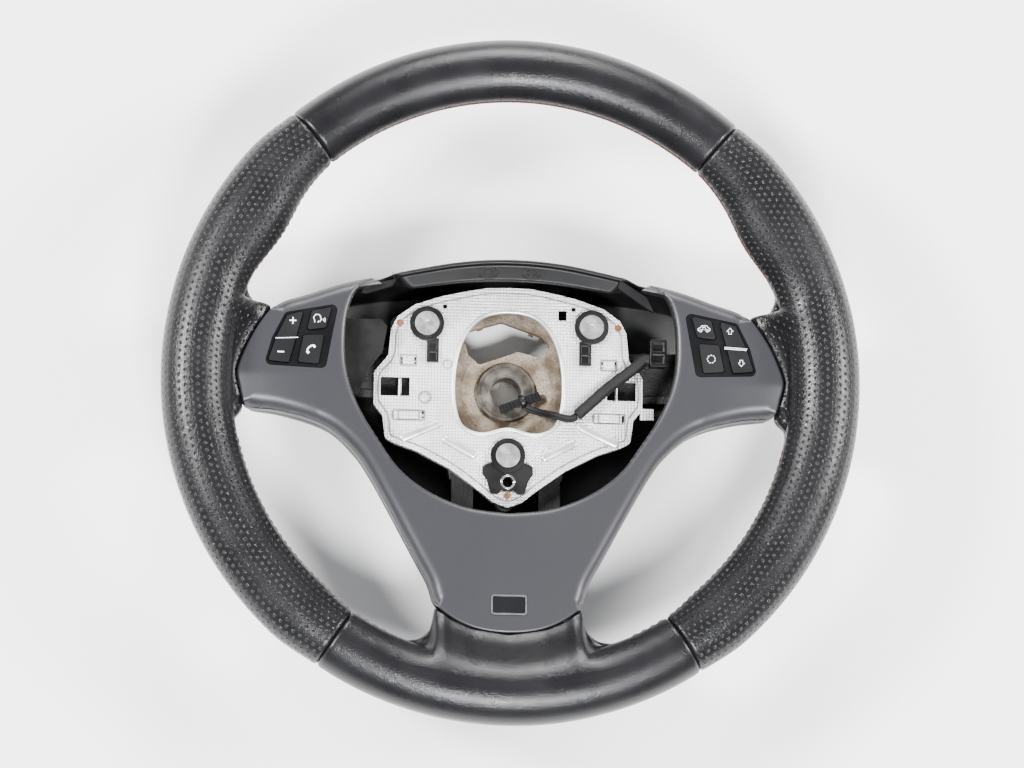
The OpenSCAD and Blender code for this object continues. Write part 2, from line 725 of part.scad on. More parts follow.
module guide_bolts() {
    head_z = plate_z + bush_t;
    color("#d9dadb") guide_places() {
        translate([0, 0, post_top - thread_len + 0.5])
            cylinder(r = thread_r, h = thread_len - 0.5 + eps);
        translate([0, 0, post_top]) cylinder(r = shank_r, h = head_z - post_top + eps);
        difference() {
            translate([0, 0, head_z]) cylinder(r = head_r, h = head_t);
            translate([0, 0, head_z + head_t - 0.8]) cylinder(r = 1.8, h = 1, $fn = 6);
        }
    }
}

spring_turns = 3;
spring_r = shank_r + 0.5 + spring_wire_d / 2;
function coil_point(a, z) = [spring_r * cos(a), spring_r * sin(a), z];
module spring() {
    sides = 6;
    steps = 14 * spring_turns;
    low = post_top + spring_wire_d / 2;
    high = bush_foot - spring_wire_d / 2;
    half_w = spring_wire_d / 2;
    loft([for (i = [0:steps])
        let (a = 360 * spring_turns * i / steps,
            z = mix(low, high, clamp01((i - 7) / (steps - 14))))
        [for (j = [0:sides - 1]) let (q = 360 * (j + 0.5) / sides,
            r = spring_r + half_w * cos(q))
            [r * cos(a), r * sin(a), z + half_w * sin(q)]]]);
}

module horn_springs() {
    color("#a9abad") guide_places() spring();
}

// Bush body around one guide bolt
module bush() {
    seat = plate_z + bush_t;
    difference() {
        union() {
            translate([0, 0, plate_z]) cylinder(r = bush_r, h = bush_t + 1);
            translate([0, 0, bush_foot])
                cylinder(r = bush_neck_r, h = plate_z - bush_foot + eps);
        }
        translate([0, 0, seat]) cylinder(r = head_r + 0.5, h = 3);
        translate([0, 0, bush_foot - 1]) cylinder(r = shank_r + bush_gap, h = 30);
    }
}

// The catch that holds a bush in the plate
module bush_catch() {
    w = 6.6;
    difference() {
        translate([-w / 2, -21.6, plate_z]) cube([w, 13.4, 2.4]);
        translate([-w / 2 + 1.2, -20.4, plate_z + 1]) cube([w - 2.4, 4.4, 3]);
        translate([-w / 2 + 1.2, -14.6, plate_z + 1]) cube([w - 2.4, 4, 3]);
    }
}

module side_bush() {
    difference() {
        union() {
            bush();
            translate([-3.4, 0, 0]) bush_catch();
        }
        translate([0, 0, plate_z + bush_t]) cylinder(r = head_r + 0.5, h = 3);
        translate([0, 0, bush_foot - 1]) cylinder(r = shank_r + bush_gap, h = 30);
    }
}

module right_bush() {
    color("#17181a") translate([bolt_x, bolt_y, 0]) side_bush();
}

module left_bush() {
    color("#17181a") mirror([1, 0, 0]) translate([bolt_x, bolt_y, 0]) side_bush();
}

eyelet_r = 4.05;
module bottom_carrier() {
    color("#17181a") difference() {
        union() {
            translate([0, -low_bolt_y, 0]) bush();
            translate([0, 0, plate_z]) linear_extrude(2) offset(r = 1, $fn = 24)
                mirrored_polygon([[0, -42], [11, -44], [12.8, -45.5], [12.8, -48.5],
                    [10.5, -52], [8.6, -58.6], [5.4, -58.6], [4, -56.6], [0, -56.4]]);
            translate([0, pin_y, plate_z]) cylinder(r = eyelet_r + 1.4, h = 2.6);
        }
        translate([0, -low_bolt_y, plate_z + bush_t]) cylinder(r = head_r + 0.5, h = 3);
        translate([0, -low_bolt_y, bush_foot - 1]) cylinder(r = shank_r + bush_gap, h = 30);
        translate([0, pin_y, plate_z - 1]) cylinder(r = eyelet_r, h = 6);
        translate([0, -low_ear_y, plate_z - 1]) cylinder(r = 2.6, h = 6);
    }
}

module pin_eyelet() {
    z = plate_bottom - 2;
    color("#cfd1d4") difference() {
        translate([0, pin_y, z]) cylinder(r = eyelet_r, h = plate_z + 3.2 - z);
        translate([0, pin_y, z - 1]) cylinder(r = pin_hole_r, h = 12);
    }
}

// Wire clip: the bar that catches a hook, and its two legs
module wire_clip() {
    r = clip_wire_d / 2;
    translate([clip_x, clip_low_y, clip_z]) rotate([-90, 0, 0])
        cylinder(r = r, h = clip_top_y - clip_low_y);
    for (end = [[clip_top_y, 11], [clip_low_y, 15.5]]) {
        translate([clip_x, end[0], clip_z]) sphere(r = r);
        translate([clip_x, end[0], clip_z]) rotate([0, -90, 0])
            cylinder(r = r, h = end[1]);
    }
}

module right_wire_clip() {
    color("#b9bbbe") wire_clip();
}

module left_wire_clip() {
    color("#b9bbbe") mirror([1, 0, 0]) wire_clip();
}

// Switch pods
pod_x = 113;
pod_y = 21;
POD = [[21.5, -16], [-12, -16.8], [-18.5, 19.3], [10.5, 13.2], [17.4, -0.9]];
ROCKER = [[19.3, -13.6], [8.2, -14.4], [0.8, 14.2], [9.6, 11.4], [15.2, -0.6]];
UPPER_KEY = [[-1.4, 4], [-11.4, 5.4], [-14.6, 16.9], [-3.8, 14.4]];
LOWER_KEY = [[3.2, -13.9], [-8, -14.5], [-10.6, 1.6], [0.4, 0.8]];
frame_top = -0.2;
frame_t = 2.8;
flange_w = 0.9;
flange_t = 1.2;
key_foot = frame_top - frame_t - 0.4 - flange_t;
pivot_y = -1;
pivot_z = -3.85;
pivot_r = 0.8;
mat_t = 1;
dome_h = 0.6;
mat_z = key_foot - button_travel - 0.2 - dome_h - mat_t;
board_t = 1.6;
board_z = mat_z - board_t;
housing_t = 1.6;
housing_wall = 0.8;
housing_z = board_z - housing_t;

module pod_place() {
    translate([pod_x, pod_y, trim_z + trim_slope * (pod_x - 90)])
        rotate([0, -atan(trim_slope), 0]) children();
}

module rounded(pts, r) {
    offset(r = r, $fn = 24) offset(delta = -r) polygon(pts);
}

module pod_outline() {
    rounded(POD, 3);
}

module key_holes(extra = 0) {
    offset(delta = rocker_gap + extra) rounded(ROCKER, 1);
    offset(delta = button_gap + extra) rounded(UPPER_KEY, 1);
    offset(delta = button_gap + extra) rounded(LOWER_KEY, 1);
}

// Inner and outer ends of the rocker's pivot, in the frame's yoke and the housing's wall
pivot_in = 2.8;
pivot_out = 16.9;
pivot_gap = 0.08;
yoke_t = 1.2;

module switch_frame() {
    difference() {
        union() {
            translate([0, 0, frame_top - frame_t]) linear_extrude(frame_t) difference() {
                offset(delta = -frame_gap) pod_outline();
                key_holes();
            }
            translate([pivot_in - 0.2, pivot_y - 1.6, pivot_z - 1.6])
                cube([yoke_t, 3.2, frame_top - frame_t - pivot_z + 1.6 + eps]);
        }
        translate([pivot_in - 2, pivot_y, pivot_z]) rotate([0, 90, 0])
            cylinder(r = pivot_r + pivot_gap, h = 4, $fn = 32);
    }
}

module key(pts) {
    translate([0, 0, key_foot]) linear_extrude(button_rise - key_foot) rounded(pts, 1);
    translate([0, 0, key_foot]) linear_extrude(flange_t) intersection() {
        offset(delta = flange_w) rounded(pts, 1);
        offset(delta = -frame_gap - housing_wall - 1) pod_outline();
    }
}

module rocker() {
    low = pivot_z - pivot_r;
    translate([0, 0, low]) linear_extrude(button_rise - low) rounded(ROCKER, 1);
    translate([pivot_in, pivot_y, pivot_z]) rotate([0, 90, 0])
        cylinder(r = pivot_r, h = pivot_out - pivot_in);
}

module rubber_mat() {
    translate([0, 0, mat_z]) linear_extrude(mat_t)
        offset(delta = -frame_gap - housing_wall - 0.3) pod_outline();
    for (p = [[-7.8, 10.2], [-3.8, -6.8], [13.2, -9.6], [7, 9]])
        translate([p[0], p[1], mat_z + mat_t - eps]) cylinder(r = 1.7, h = dome_h);
}

module switch_board() {
    translate([0, 0, board_z]) linear_extrude(board_t)
        offset(delta = -frame_gap - housing_wall - 0.3) pod_outline();
}

module switch_housing() {
    outer = -frame_gap - 0.1;
    difference() {
        union() {
            translate([0, 0, housing_z]) linear_extrude(housing_t)
                offset(delta = outer) pod_outline();
            translate([0, 0, housing_z]) linear_extrude(frame_top - frame_t - housing_z)
                difference() {
                    offset(delta = outer) pod_outline();
                    offset(delta = outer - housing_wall) pod_outline();
                }
        }
        translate([pivot_out - 2, pivot_y, pivot_z]) rotate([0, 90, 0])
            cylinder(r = pivot_r + pivot_gap, h = 4, $fn = 32);
    }
}

module right_pod() {
    pod_place() children();
}

module left_pod() {
    mirror([1, 0, 0]) pod_place() children();
}

module left_switch_frame() {
    color("#3a3b3e") left_pod() switch_frame();
}

module left_rocker() {
    color("#2c2d30") left_pod() rocker();
}

module voice_button() {
    color("#2c2d30") left_pod() key(UPPER_KEY);
}

module phone_button() {
    color("#2c2d30") left_pod() key(LOWER_KEY);
}

module left_rubber_mat() {
    color("#777b80") left_pod() rubber_mat();
}

module left_switch_board() {
    color("#1f6b45") left_pod() switch_board();
}

module left_switch_housing() {
    color("#202124") left_pod() switch_housing();
}

module right_switch_frame() {
    color("#3a3b3e") right_pod() switch_frame();
}

module right_rocker() {
    color("#2c2d30") right_pod() rocker();
}

module recirculation_button() {
    color("#2c2d30") right_pod() key(UPPER_KEY);
}

module custom_button() {
    color("#2c2d30") right_pod() key(LOWER_KEY);
}

module right_rubber_mat() {
    color("#777b80") right_pod() rubber_mat();
}

module right_switch_board() {
    color("#1f6b45") right_pod() switch_board();
}

module right_switch_housing() {
    color("#202124") right_pod() switch_housing();
}

// What lies in the well beside the plate
flap_t = 1.5;
flap_gap = 0.4;
module well_flap() {
    lip_foot = trim_top(84, 0) - well_lip_h;
    color("#2f3033") translate([0, 0, lip_foot - flap_gap - flap_t])
        linear_extrude(flap_t) offset(r = 1.5, $fn = 24) offset(delta = -1.5)
            polygon([[-92.3, 34], [-71, 34], [-67.6, 30.5], [-70, 16], [-77, 7.5],
                [-83.5, -9], [-87.5, -6], [-92.3, 14]]);
}

module switch_plug() {
    color("#1b1c1e") translate([77.5, 12, 40]) difference() {
        cube([9, 15, 9.4]);
        translate([1.4, 2, 7]) cube([6, 4.6, 4]);
        translate([1.4, 8.4, 7]) cube([6, 4.6, 4]);
    }
}

// Lead: hand placed route of the loom, then of the loose wires
LOOM = [[77.3, 16, 45.6], [74.6, 16, 45.6], [70.5, 12.5, 45.7], [65, 8, 45.7],
    [59, 3.5, 45.6], [52.5, -2, 45.6], [46.5, -7.5, 45.5], [41, -12.6, 45.4],
    [37.6, -15.6, 45.3]];
WIRES = [[37.3, -15.9, 45.3], [35, -17.4, 45.2], [31.5, -17.4, 45], [26.8, -16, 44.4],
    [23, -14.6, 40.4], [19.7, -13.2, 35.8], [15.4, -11.6, 32.2], [11, -9.6, 30.6]];
plug_mid = [7.4, -6.3, 26];
plug_turn = 21;
plug_h = 4.6;
plug_w = 4.6;
tie_r = 3.9;

function unit(v) = v / norm(v);
function route_dir(pts, i) =
    unit(pts[min(i + 1, len(pts) - 1)] - pts[max(i - 1, 0)]);
module tube(pts, r, sides) {
    loft([for (i = [0:len(pts) - 1])
        let (d = route_dir(pts, i), u = unit(cross(d, [0, 0, 1])), v = cross(u, d))
        [for (j = [0:sides - 1]) let (q = 360 * j / sides)
            pts[i] + r * (u * cos(q) + v * sin(q))]]);
}

module lead_loom() {
    color("#121214") tube(LOOM, loom_d / 2, 10);
}

module lead_wires() {
    bundle = wire_d / 2 / cos(30);
    color("#151517") for (k = [0:2]) tube([for (i = [0:len(WIRES) - 1])
        let (d = route_dir(WIRES, i), u = unit(cross(d, [0, 0, 1])), v = cross(u, d))
        WIRES[i] + (bundle + 0.05) * (u * cos(120 * k + 90) + v * sin(120 * k + 90))],
        wire_d / 2, 8);
}

module lead_connector() {
    color("#161618") translate(plug_mid) rotate([0, 0, plug_turn]) union() {
        cube([plug_len, plug_w, plug_h - 1.2], center = true);
        for (i = [0:10]) translate([-plug_len / 2 + 1 + i * (plug_len - 2) / 10, 0, 0])
            cube([1.1, plug_w, plug_h], center = true);
    }
}

module cable_tie() {
    color("#1a1a1c") translate([plug_mid[0] + 1.6, plug_mid[1] + 0.6, plug_mid[2]])
        rotate([0, 0, plug_turn]) rotate([0, 90, 0]) translate([0, 0, -1.2])
            difference() {
                cylinder(r = tie_r, h = 2.4);
                translate([0, 0, -1]) cylinder(r = tie_r - 0.6, h = 5);
            }
}

armature();
spline_sleeve();
rim_foam();
leather_top();
leather_left();
leather_right();
leather_bottom();
spoke_trim();
badge_plate();
rear_cover();
rear_cover_screws();
horn_plate();
guide_bolts();
horn_springs();
left_bush();
right_bush();
bottom_carrier();
pin_eyelet();
contact_rivets();
left_wire_clip();
right_wire_clip();
left_switch_frame();
left_rocker();
voice_button();
phone_button();
left_rubber_mat();
left_switch_board();
left_switch_housing();
right_switch_frame();
right_rocker();
recirculation_button();
custom_button();
right_rubber_mat();
right_switch_board();
right_switch_housing();
well_flap();
switch_plug();
lead_loom();
lead_wires();
lead_connector();
cable_tie();
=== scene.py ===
import math
import bmesh
import bpy
import numpy as np
from mathutils import Matrix, Vector


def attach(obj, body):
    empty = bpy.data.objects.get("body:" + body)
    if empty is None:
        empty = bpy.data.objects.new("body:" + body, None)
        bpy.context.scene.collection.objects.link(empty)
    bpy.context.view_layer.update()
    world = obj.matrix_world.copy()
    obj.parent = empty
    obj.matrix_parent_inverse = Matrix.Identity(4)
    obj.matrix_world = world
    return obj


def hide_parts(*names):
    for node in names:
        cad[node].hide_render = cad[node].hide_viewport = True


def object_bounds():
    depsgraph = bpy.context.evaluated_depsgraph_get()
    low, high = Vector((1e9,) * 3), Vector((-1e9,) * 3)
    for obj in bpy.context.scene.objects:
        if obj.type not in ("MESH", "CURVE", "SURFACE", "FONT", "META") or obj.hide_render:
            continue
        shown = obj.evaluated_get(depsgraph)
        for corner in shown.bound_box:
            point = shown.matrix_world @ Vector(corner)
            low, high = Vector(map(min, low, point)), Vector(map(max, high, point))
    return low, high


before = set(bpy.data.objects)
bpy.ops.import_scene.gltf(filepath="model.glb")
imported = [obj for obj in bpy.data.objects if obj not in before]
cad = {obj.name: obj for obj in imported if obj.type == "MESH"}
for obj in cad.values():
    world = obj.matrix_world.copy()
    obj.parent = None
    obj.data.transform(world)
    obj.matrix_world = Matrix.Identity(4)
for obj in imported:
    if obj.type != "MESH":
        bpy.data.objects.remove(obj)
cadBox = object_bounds()
mm = 0.001    # outlines below are in millimetres, and become metres as a mesh is made

# Camera, at the place the photograph was taken from
camera = {
    "target": (0.0, 0.0, 0.072),    # middle of the rim
    "distance": 1.78,
    "tilt": 10.4,                   # degrees off the column axis
    "turn": 246.0,                  # direction of that tilt, from the wheel's right
    "roll": -0.7,
    "sensor": 36.0,
    "focal": 3291.0,                # in pixels of a 1024 wide picture
    "imageWidth": 1024.0,
    "targetOffset": (0.8, 6.3),     # pixels right of and above the picture's middle
    "clip": (0.05, 30),
}


def placeCamera(c):
    tilt, turn, roll = (math.radians(c[k]) for k in ("tilt", "turn", "roll"))
    back = Vector((math.sin(tilt) * math.cos(turn), math.sin(tilt) * math.sin(turn), math.cos(tilt)))
    right = Vector((0, 1, 0)).cross(back).normalized()
    up = back.cross(right)
    right, up = (right * math.cos(roll) - up * math.sin(roll),
                 right * math.sin(roll) + up * math.cos(roll))
    data = bpy.data.cameras.new("camera")
    data.sensor_width = c["sensor"]
    data.lens = c["sensor"] * c["focal"] / c["imageWidth"]
    data.shift_x = -c["targetOffset"][0] / c["imageWidth"]
    data.shift_y = -c["targetOffset"][1] / c["imageWidth"]
    data.clip_start, data.clip_end = c["clip"]
    camObject = bpy.data.objects.new("camera", data)
    turned = Matrix((right, up, back)).transposed().to_4x4()
    turned.translation = Vector(c["target"]) + back * c["distance"]
    camObject.matrix_world = turned
    bpy.context.scene.collection.objects.link(camObject)
    bpy.context.scene.camera = camObject


placeCamera(camera)
print("camera placed")


# Small tools shared by all pieces

def ease(t):
    c = np.clip(t, 0, 1)
    return c * c * (3 - 2 * c)


def mix(a, b, t):
    return a + (b - a) * t


def makeObject(name, points, faces, uv=None, smooth=True):
    mesh = bpy.data.meshes.new(name)
    mesh.from_pydata([tuple(p) for p in np.asarray(points, float) * mm], [], faces)
    if uv is not None:
        layer = mesh.uv_layers.new(name="flat")
        index = np.zeros(len(mesh.loops), int)
        mesh.loops.foreach_get("vertex_index", index)
        layer.data.foreach_set("uv", np.asarray(uv, float)[index].ravel())
    mesh.polygons.foreach_set("use_smooth", [smooth] * len(mesh.polygons))
    mesh.validate()
    mesh.update()
    piece = bpy.data.objects.new(name, mesh)
    bpy.context.scene.collection.objects.link(piece)
    return piece


def fixNormals(piece):
    b = bmesh.new()
    b.from_mesh(piece.data)
    bmesh.ops.recalc_face_normals(b, faces=b.faces)
    b.to_mesh(piece.data)
    b.free()


def settle(piece, angle):
    fixNormals(piece)
    piece.data.set_sharp_from_angle(angle=math.radians(angle))


def placed(points, matrix):
    m = np.array(matrix)
    return np.asarray(points, float) @ m[:3, :3].T + m[:3, 3]


def cornersOf(wide, high, x=0.0, y=0.0):
    return [(x - wide, y - high), (x + wide, y - high), (x + wide, y + high), (x - wide, y + high)]


def skinFaces(count, around, closed):
    i, j = np.meshgrid(np.arange(count if closed else count - 1), np.arange(around), indexing="ij")
    i2, j2 = (i + 1) % count, (j + 1) % around
    quads = np.stack([i * around + j, i * around + j2, i2 * around + j2, i2 * around + j], -1)
    return quads.reshape(-1, 4).tolist()


def endCaps(count, around):
    return [list(range(around))[::-1], [(count - 1) * around + j for j in range(around)]]


def shifted(faces, base):
    return [[base + i for i in face] for face in faces]


def skin(name, rings, closed=True):
    count, around = rings.shape[:2]
    faces = skinFaces(count, around, closed)
    return makeObject(name, rings.reshape(-1, 3), faces if closed else faces + endCaps(count, around))


def throughPoints(points, step):
    p = np.asarray(points, float)
    p = np.vstack([2 * p[0] - p[1], p, 2 * p[-1] - p[-2]])
    out = []
    for i in range(1, len(p) - 2):
        p0, p1, p2, p3 = p[i - 1:i + 3]
        d1, d2, d3 = (max(np.linalg.norm(b - a), 1e-6) ** 0.5
                      for a, b in ((p0, p1), (p1, p2), (p2, p3)))
        m1 = (p2 - p1) + d2 * ((p1 - p0) / d1 - (p2 - p0) / (d1 + d2))
        m2 = (p2 - p1) + d2 * ((p3 - p2) / d3 - (p3 - p1) / (d2 + d3))
        n = max(2, int(np.linalg.norm(p2 - p1) / step))
        t = np.arange(n)[:, None] / n
        out.append((2 * t ** 3 - 3 * t ** 2 + 1) * p1 + (t ** 3 - 2 * t ** 2 + t) * m1
                   + (-2 * t ** 3 + 3 * t ** 2) * p2 + (t ** 3 - t ** 2) * m2)
    out.append(p[-2][None])
    return np.vstack(out)


def tubeMesh(paths, radius, sides, wrap=None):
    points, faces = [], []
    for path in paths:
        path = np.asarray(path, float)
        tangent = np.gradient(path, axis=0)
        tangent /= np.linalg.norm(tangent, axis=1, keepdims=True)
        lift = np.where(np.abs(tangent[:, 2:3]) > 0.9, (1.0, 0, 0), (0, 0, 1.0))
        u = np.cross(tangent, lift)
        u /= np.linalg.norm(u, axis=1, keepdims=True)
        v = np.cross(u, tangent)
        q = np.arange(sides) * 2 * math.pi / sides
        n = len(path)
        size = np.full((n, sides), radius)
        if wrap:
            along = np.concatenate([[0], np.cumsum(np.linalg.norm(np.diff(path, axis=0), axis=1))])
            turns = (along[:, None] / wrap["pitch"] + q[None, :] / (2 * math.pi)) % 1
            size = radius - wrap["step"] * turns
        ring = path[:, None] + size[..., None] * (u[:, None] * np.cos(q)[None, :, None]
                                                  + v[:, None] * np.sin(q)[None, :, None])
        base = len(points)
        points.extend(ring.reshape(-1, 3))
        faces.extend(shifted(skinFaces(n, sides, False) + endCaps(n, sides), base))
    return np.array(points), faces


# Lead from the switches: a taped loom over the horn plate, then three loose wires to a connector
lead = {
    "loom": [(77.3, 16, 45.6), (74.6, 16, 45.6), (70.5, 12.5, 45.7), (65, 8, 45.7), (59, 3.5, 45.6),
             (52.5, -2, 45.6), (46.5, -7.5, 45.5), (41, -12.6, 45.4), (37.6, -15.6, 45.3)],
    "loomDiameter": 6.6,
    "tape": {"pitch": 6.5, "step": 0.22},    # turns of the cloth tape, and the step at each edge
    "wires": [(37.3, -15.9, 45.3), (35, -17.4, 45.2), (31.5, -17.4, 45), (26.8, -16, 44.4),
              (23, -14.6, 40.4), (19.7, -13.2, 35.8), (15.4, -11.6, 32.2), (11, -9.6, 30.6)],
    "wireDiameter": 2.0,
    "bundleGap": 0.05,
    "steps": (0.4, 0.3), "sides": (28, 14),    # of the loom, and of a wire
}


def buildLead():
    p = lead
    path = throughPoints(p["loom"], p["steps"][0])
    points, faces = tubeMesh([path], p["loomDiameter"] / 2, p["sides"][0], p["tape"])
    loom = makeObject("taped_loom", points, faces)
    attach(loom, "wheel")
    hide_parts("lead_loom")
    middle = np.array(p["wires"], float)
    ahead = np.vstack([middle[1:], middle[-1:]]) - np.vstack([middle[:1], middle[:-1]])
    ahead /= np.linalg.norm(ahead, axis=1, keepdims=True)
    u = np.cross(ahead, (0, 0, 1))
    u /= np.linalg.norm(u, axis=1, keepdims=True)
    v = np.cross(u, ahead)
    spread = p["wireDiameter"] / 2 / math.cos(math.radians(30)) + p["bundleGap"]
    for k in range(3):
        a = math.radians(120 * k + 90)
        path = throughPoints(middle + spread * (u * math.cos(a) + v * math.sin(a)), p["steps"][1])
        points, faces = tubeMesh([path], p["wireDiameter"] / 2, p["sides"][1])
        wire = makeObject(f"loose_wire_{k + 1}", points, faces)
        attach(wire, "wheel")
        if k == 0:
            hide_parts("lead_wires")


buildLead()
print("lead done")


# Shared outlines and surfaces

def smoothed(values, width):
    n = int(3 * width)
    kernel = np.exp(-0.5 * (np.arange(-n, n + 1) / width) ** 2)
    padded = np.pad(values, ((n, n), (0, 0)), "wrap")
    kernel = kernel / kernel.sum()
    return np.stack([np.convolve(column, kernel, "valid") for column in padded.T], 1)


def polar(radius, angle, z):
    a = np.radians(angle)
    return np.stack(np.broadcast_arrays(radius * np.cos(a), radius * np.sin(a), z), -1)


# Outlines that the leather, the trim and the rear cover share, right half from six o'clock up
outlines = {
    "step": 1.0,
    "softening": 2.2,
    "spokes": [(0, -137.7), (10, -137), (20, -134.8), (30, -130.2), (40, -122), (43, -112),
               (50.5, -98), (76.4, -51.4), (84, -40.7), (97.5, -28.3), (111, -22.5), (129, -18.5),
               (144.3, -16.5), (147.5, -5.7), (149, 0.6), (146, 10.7), (139.5, 24.5), (128, 39.3),
               (112.6, 45.3), (90, 53.3), (66, 58.6), (50, 62.2), (33, 65.6), (16, 67.7), (0, 68.3)],
    "well": [(0, -72.5), (24, -69.3), (46, -60), (60.4, -48.8), (71.5, -33.7), (82.6, -15.8),
             (89.2, 2.2), (90.9, 20.4), (89.1, 38.8), (84, 50.4), (77, 54.9), (70, 57.3), (0, 66)],
}


def closedLine(half):
    whole = half + [(-x, y) for x, y in half[-2:0:-1]] + [half[0]]
    return smoothed(throughPoints(whole, outlines["step"])[:-1], outlines["softening"])


spokeLine = closedLine(outlines["spokes"])
wellLine = closedLine(outlines["well"])


def reachOf(line, angle):
    a = np.degrees(np.unwrap(np.arctan2(line[:, 1], line[:, 0])))
    r = np.hypot(line[:, 0], line[:, 1])
    order = np.argsort(a % 360)
    return np.interp(np.asarray(angle) % 360, (a % 360)[order], r[order], period=360)


def distanceTo(line, x, y):
    flat = np.stack([np.ravel(x), np.ravel(y)], 1)
    gap = np.empty(len(flat))
    near = np.empty(len(flat), int)
    for i in range(0, len(flat), 4000):
        part = flat[i:i + 4000, None]
        d = np.hypot(part[..., 0] - line[None, :, 0], part[..., 1] - line[None, :, 1])
        near[i:i + 4000] = d.argmin(1)
        gap[i:i + 4000] = d.min(1)
    return gap.reshape(np.shape(x)), near.reshape(np.shape(x))


def foldAngle(angle):
    return np.degrees(np.arcsin(np.sin(np.radians(angle))))


# Trim cover. Its surface falls away below a crease towards each arm's lower outer corner.
trim = {
    "height": 62.0, "heightAt": 90.0, "slope": 0.09,
    "creaseDrop": 4.0, "creaseSoft": 1.6, "creaseRun": 18.0, "creaseFrom": 105.0, "creaseOver": 42.0,
    "wall": 2.6, "shoulder": 7.5, "edge": 1.2, "skirt": 13.0, "endSkirt": 3.2, "lip": 9.0,
    "armLow": -6.4, "armTop": 15.2, "legAngle": -73.4, "hornAngle": 36.5,
    "rows": 34, "rowBias": 1.9, "lipRows": (0, 0.004, 0.012, 0.024), "lipRound": 2.2,
}


def softRamp(t, soft):
    return 0.5 * (t + np.sqrt(t * t + soft * soft))


def trimTop(x, y):
    spread = (np.abs(x) ** 4 + np.minimum(y, 0) ** 4) ** 0.25
    across = np.clip((np.abs(x) - trim["creaseFrom"]) / trim["creaseOver"], 0, 1)
    down = np.clip(softRamp(1 - y, trim["creaseSoft"]) / trim["creaseRun"], 0, 1)
    flat = trim["height"] + trim["slope"] * (spread - trim["heightAt"])
    return flat - trim["creaseDrop"] * down * across


# 1 where the trim has its tall side wall, 0 where a neck runs in under it
def hasWall(angle):
    f = foldAngle(angle)
    leg = 1 - ease((f - trim["legAngle"]) / 2)
    arm = ease((f - trim["armLow"] + 0.8) / 1.6) * (1 - ease((f - trim["armTop"]) / 2))
    return 1 - np.where(f < trim["legAngle"] + 2, leg, arm)


# The grip and its necks
rim = {
    "radius": 170.5, "halfWidth": 17.25, "halfHeight": 15.5, "z": 72.0,
    "sideSwell": 1.8, "sideBlend": 9.0, "thumbSwell": 4.5, "thumbAngle": 31.0, "thumbSpan": 13.0,
    "seamTop": 49.4, "seamLow": 56.8, "neckThick": 18.0, "neckDrop": 0.2, "neckFrom": 100.0,
    "leather": 1.4, "neckSoft": 5.0, "unionSoft": 0.05,
    "armBlend": ((-13.5, -6.4), (14.8, 23.5)), "legBlend": (-74.4, -65.0),    # angles the necks fade over
    "neckTurn": 0.78,              # share of the way in where a neck starts to round over
    "neckPull": (0.55, 0.38), "neckLean": 0.45,
    # grip angles, and how far the leather rounds over at its inner edge there
    "roundAt": (-80, -77.8, -76.2, -75, -72, -66, -12, -9, -7.4, -6, -4.4, 12.6, 14.4, 15.4, 17, 22),
    "round": (1.2, 2, 5.5, 7.5, 8.5, 8.5, 8, 8, 7.5, 5.5, 1.2, 1.2, 4.5, 6.5, 8, 8),
    # grip angle, then the place in plan that the leather's inner edge runs in to
    "armNeck": [(-13.0, None), (-10.4, (149.6, -26.2)), (-9.0, (148.1, -22.4)), (-7.6, (146.0, -19.6)),
                (-6.0, (144.9, -16.2)), (-2.0, (148.0, -5.2)), (2.5, (149.3, 1.6)),
                (7.0, (146.3, 10.7)), (11.0, (140.0, 24.3)), (13.6, (131.4, 36.3)),
                (14.8, (130.6, 39.2)), (16.2, (137.6, 37.8)), (17.8, (142.8, 42.6)),
                (19.6, (144.6, 49.6)), (22.5, None)],
    "legNeck": [(-65.0, None), (-67.6, (55.0, -142.8)), (-69.8, (47.2, -141.2)), (-72.0, (41.6, -135.8)),
                (-74.2, (40.2, -128.5)), (-76.2, (39.6, -122.5)), (-79.5, (30.6, -130.4)),
                (-84.0, (19.2, -135.2)), (-90.0, (0, -138.0))],
}


def sideShare(angle):
    f = foldAngle(angle)
    return ease((rim["seamTop"] - f) / rim["sideBlend"]) * ease((f + rim["seamLow"]) / rim["sideBlend"])


def thumbSwell(angle):
    d = np.abs(foldAngle(angle) - rim["thumbAngle"]) / rim["thumbSpan"]
    return np.where(d < 1, rim["thumbSwell"] * np.cos(np.radians(90 * np.minimum(d, 1))) ** 2, 0)


def gripSize(angle):
    swell = rim["sideSwell"] * sideShare(angle)
    outer = rim["halfWidth"] + swell
    return outer, outer + thumbSwell(angle), rim["halfHeight"] + 0.5 * swell


def innerReach(angle):
    return rim["radius"] - gripSize(angle)[1]


def neckTable():
    f = np.linspace(-90, 90, 1801)
    a = np.radians(f)
    line = innerReach(f)[:, None] * np.stack([np.cos(a), np.sin(a)], 1)
    for path in (rim["legNeck"][::-1], rim["armNeck"]):
        angles = [stop[0] for stop in path]
        spots = np.array([stop[1] or polar(innerReach(stop[0]), stop[0], 0)[:2] for stop in path])
        inside = (f >= angles[0]) & (f <= angles[-1])
        line[inside] = np.stack([np.interp(f[inside], angles, spots[:, k]) for k in (0, 1)], 1)
    soft = smoothed(line, rim["neckSoft"])
    return f, np.where(np.abs(f[:, None]) > 87, line, soft)


neckAngles, neckPlaces = neckTable()


def neckEdge(angle):
    f = foldAngle(angle)
    return np.interp(f, neckAngles, neckPlaces[:, 0]), np.interp(f, neckAngles, neckPlaces[:, 1])


def neckWeight(angle):
    f = foldAngle(angle)
    low, high = rim["armBlend"]
    arm = ease((f - low[0]) / (low[1] - low[0])) * (1 - ease((f - high[0]) / (high[1] - high[0])))
    return np.maximum(arm, 1 - ease((f - rim["legBlend"][0]) / (rim["legBlend"][1] - rim["legBlend"][0])))


# The grip's section at an angle round the wheel, by the turn round the grip (0 outside, 180 inside)

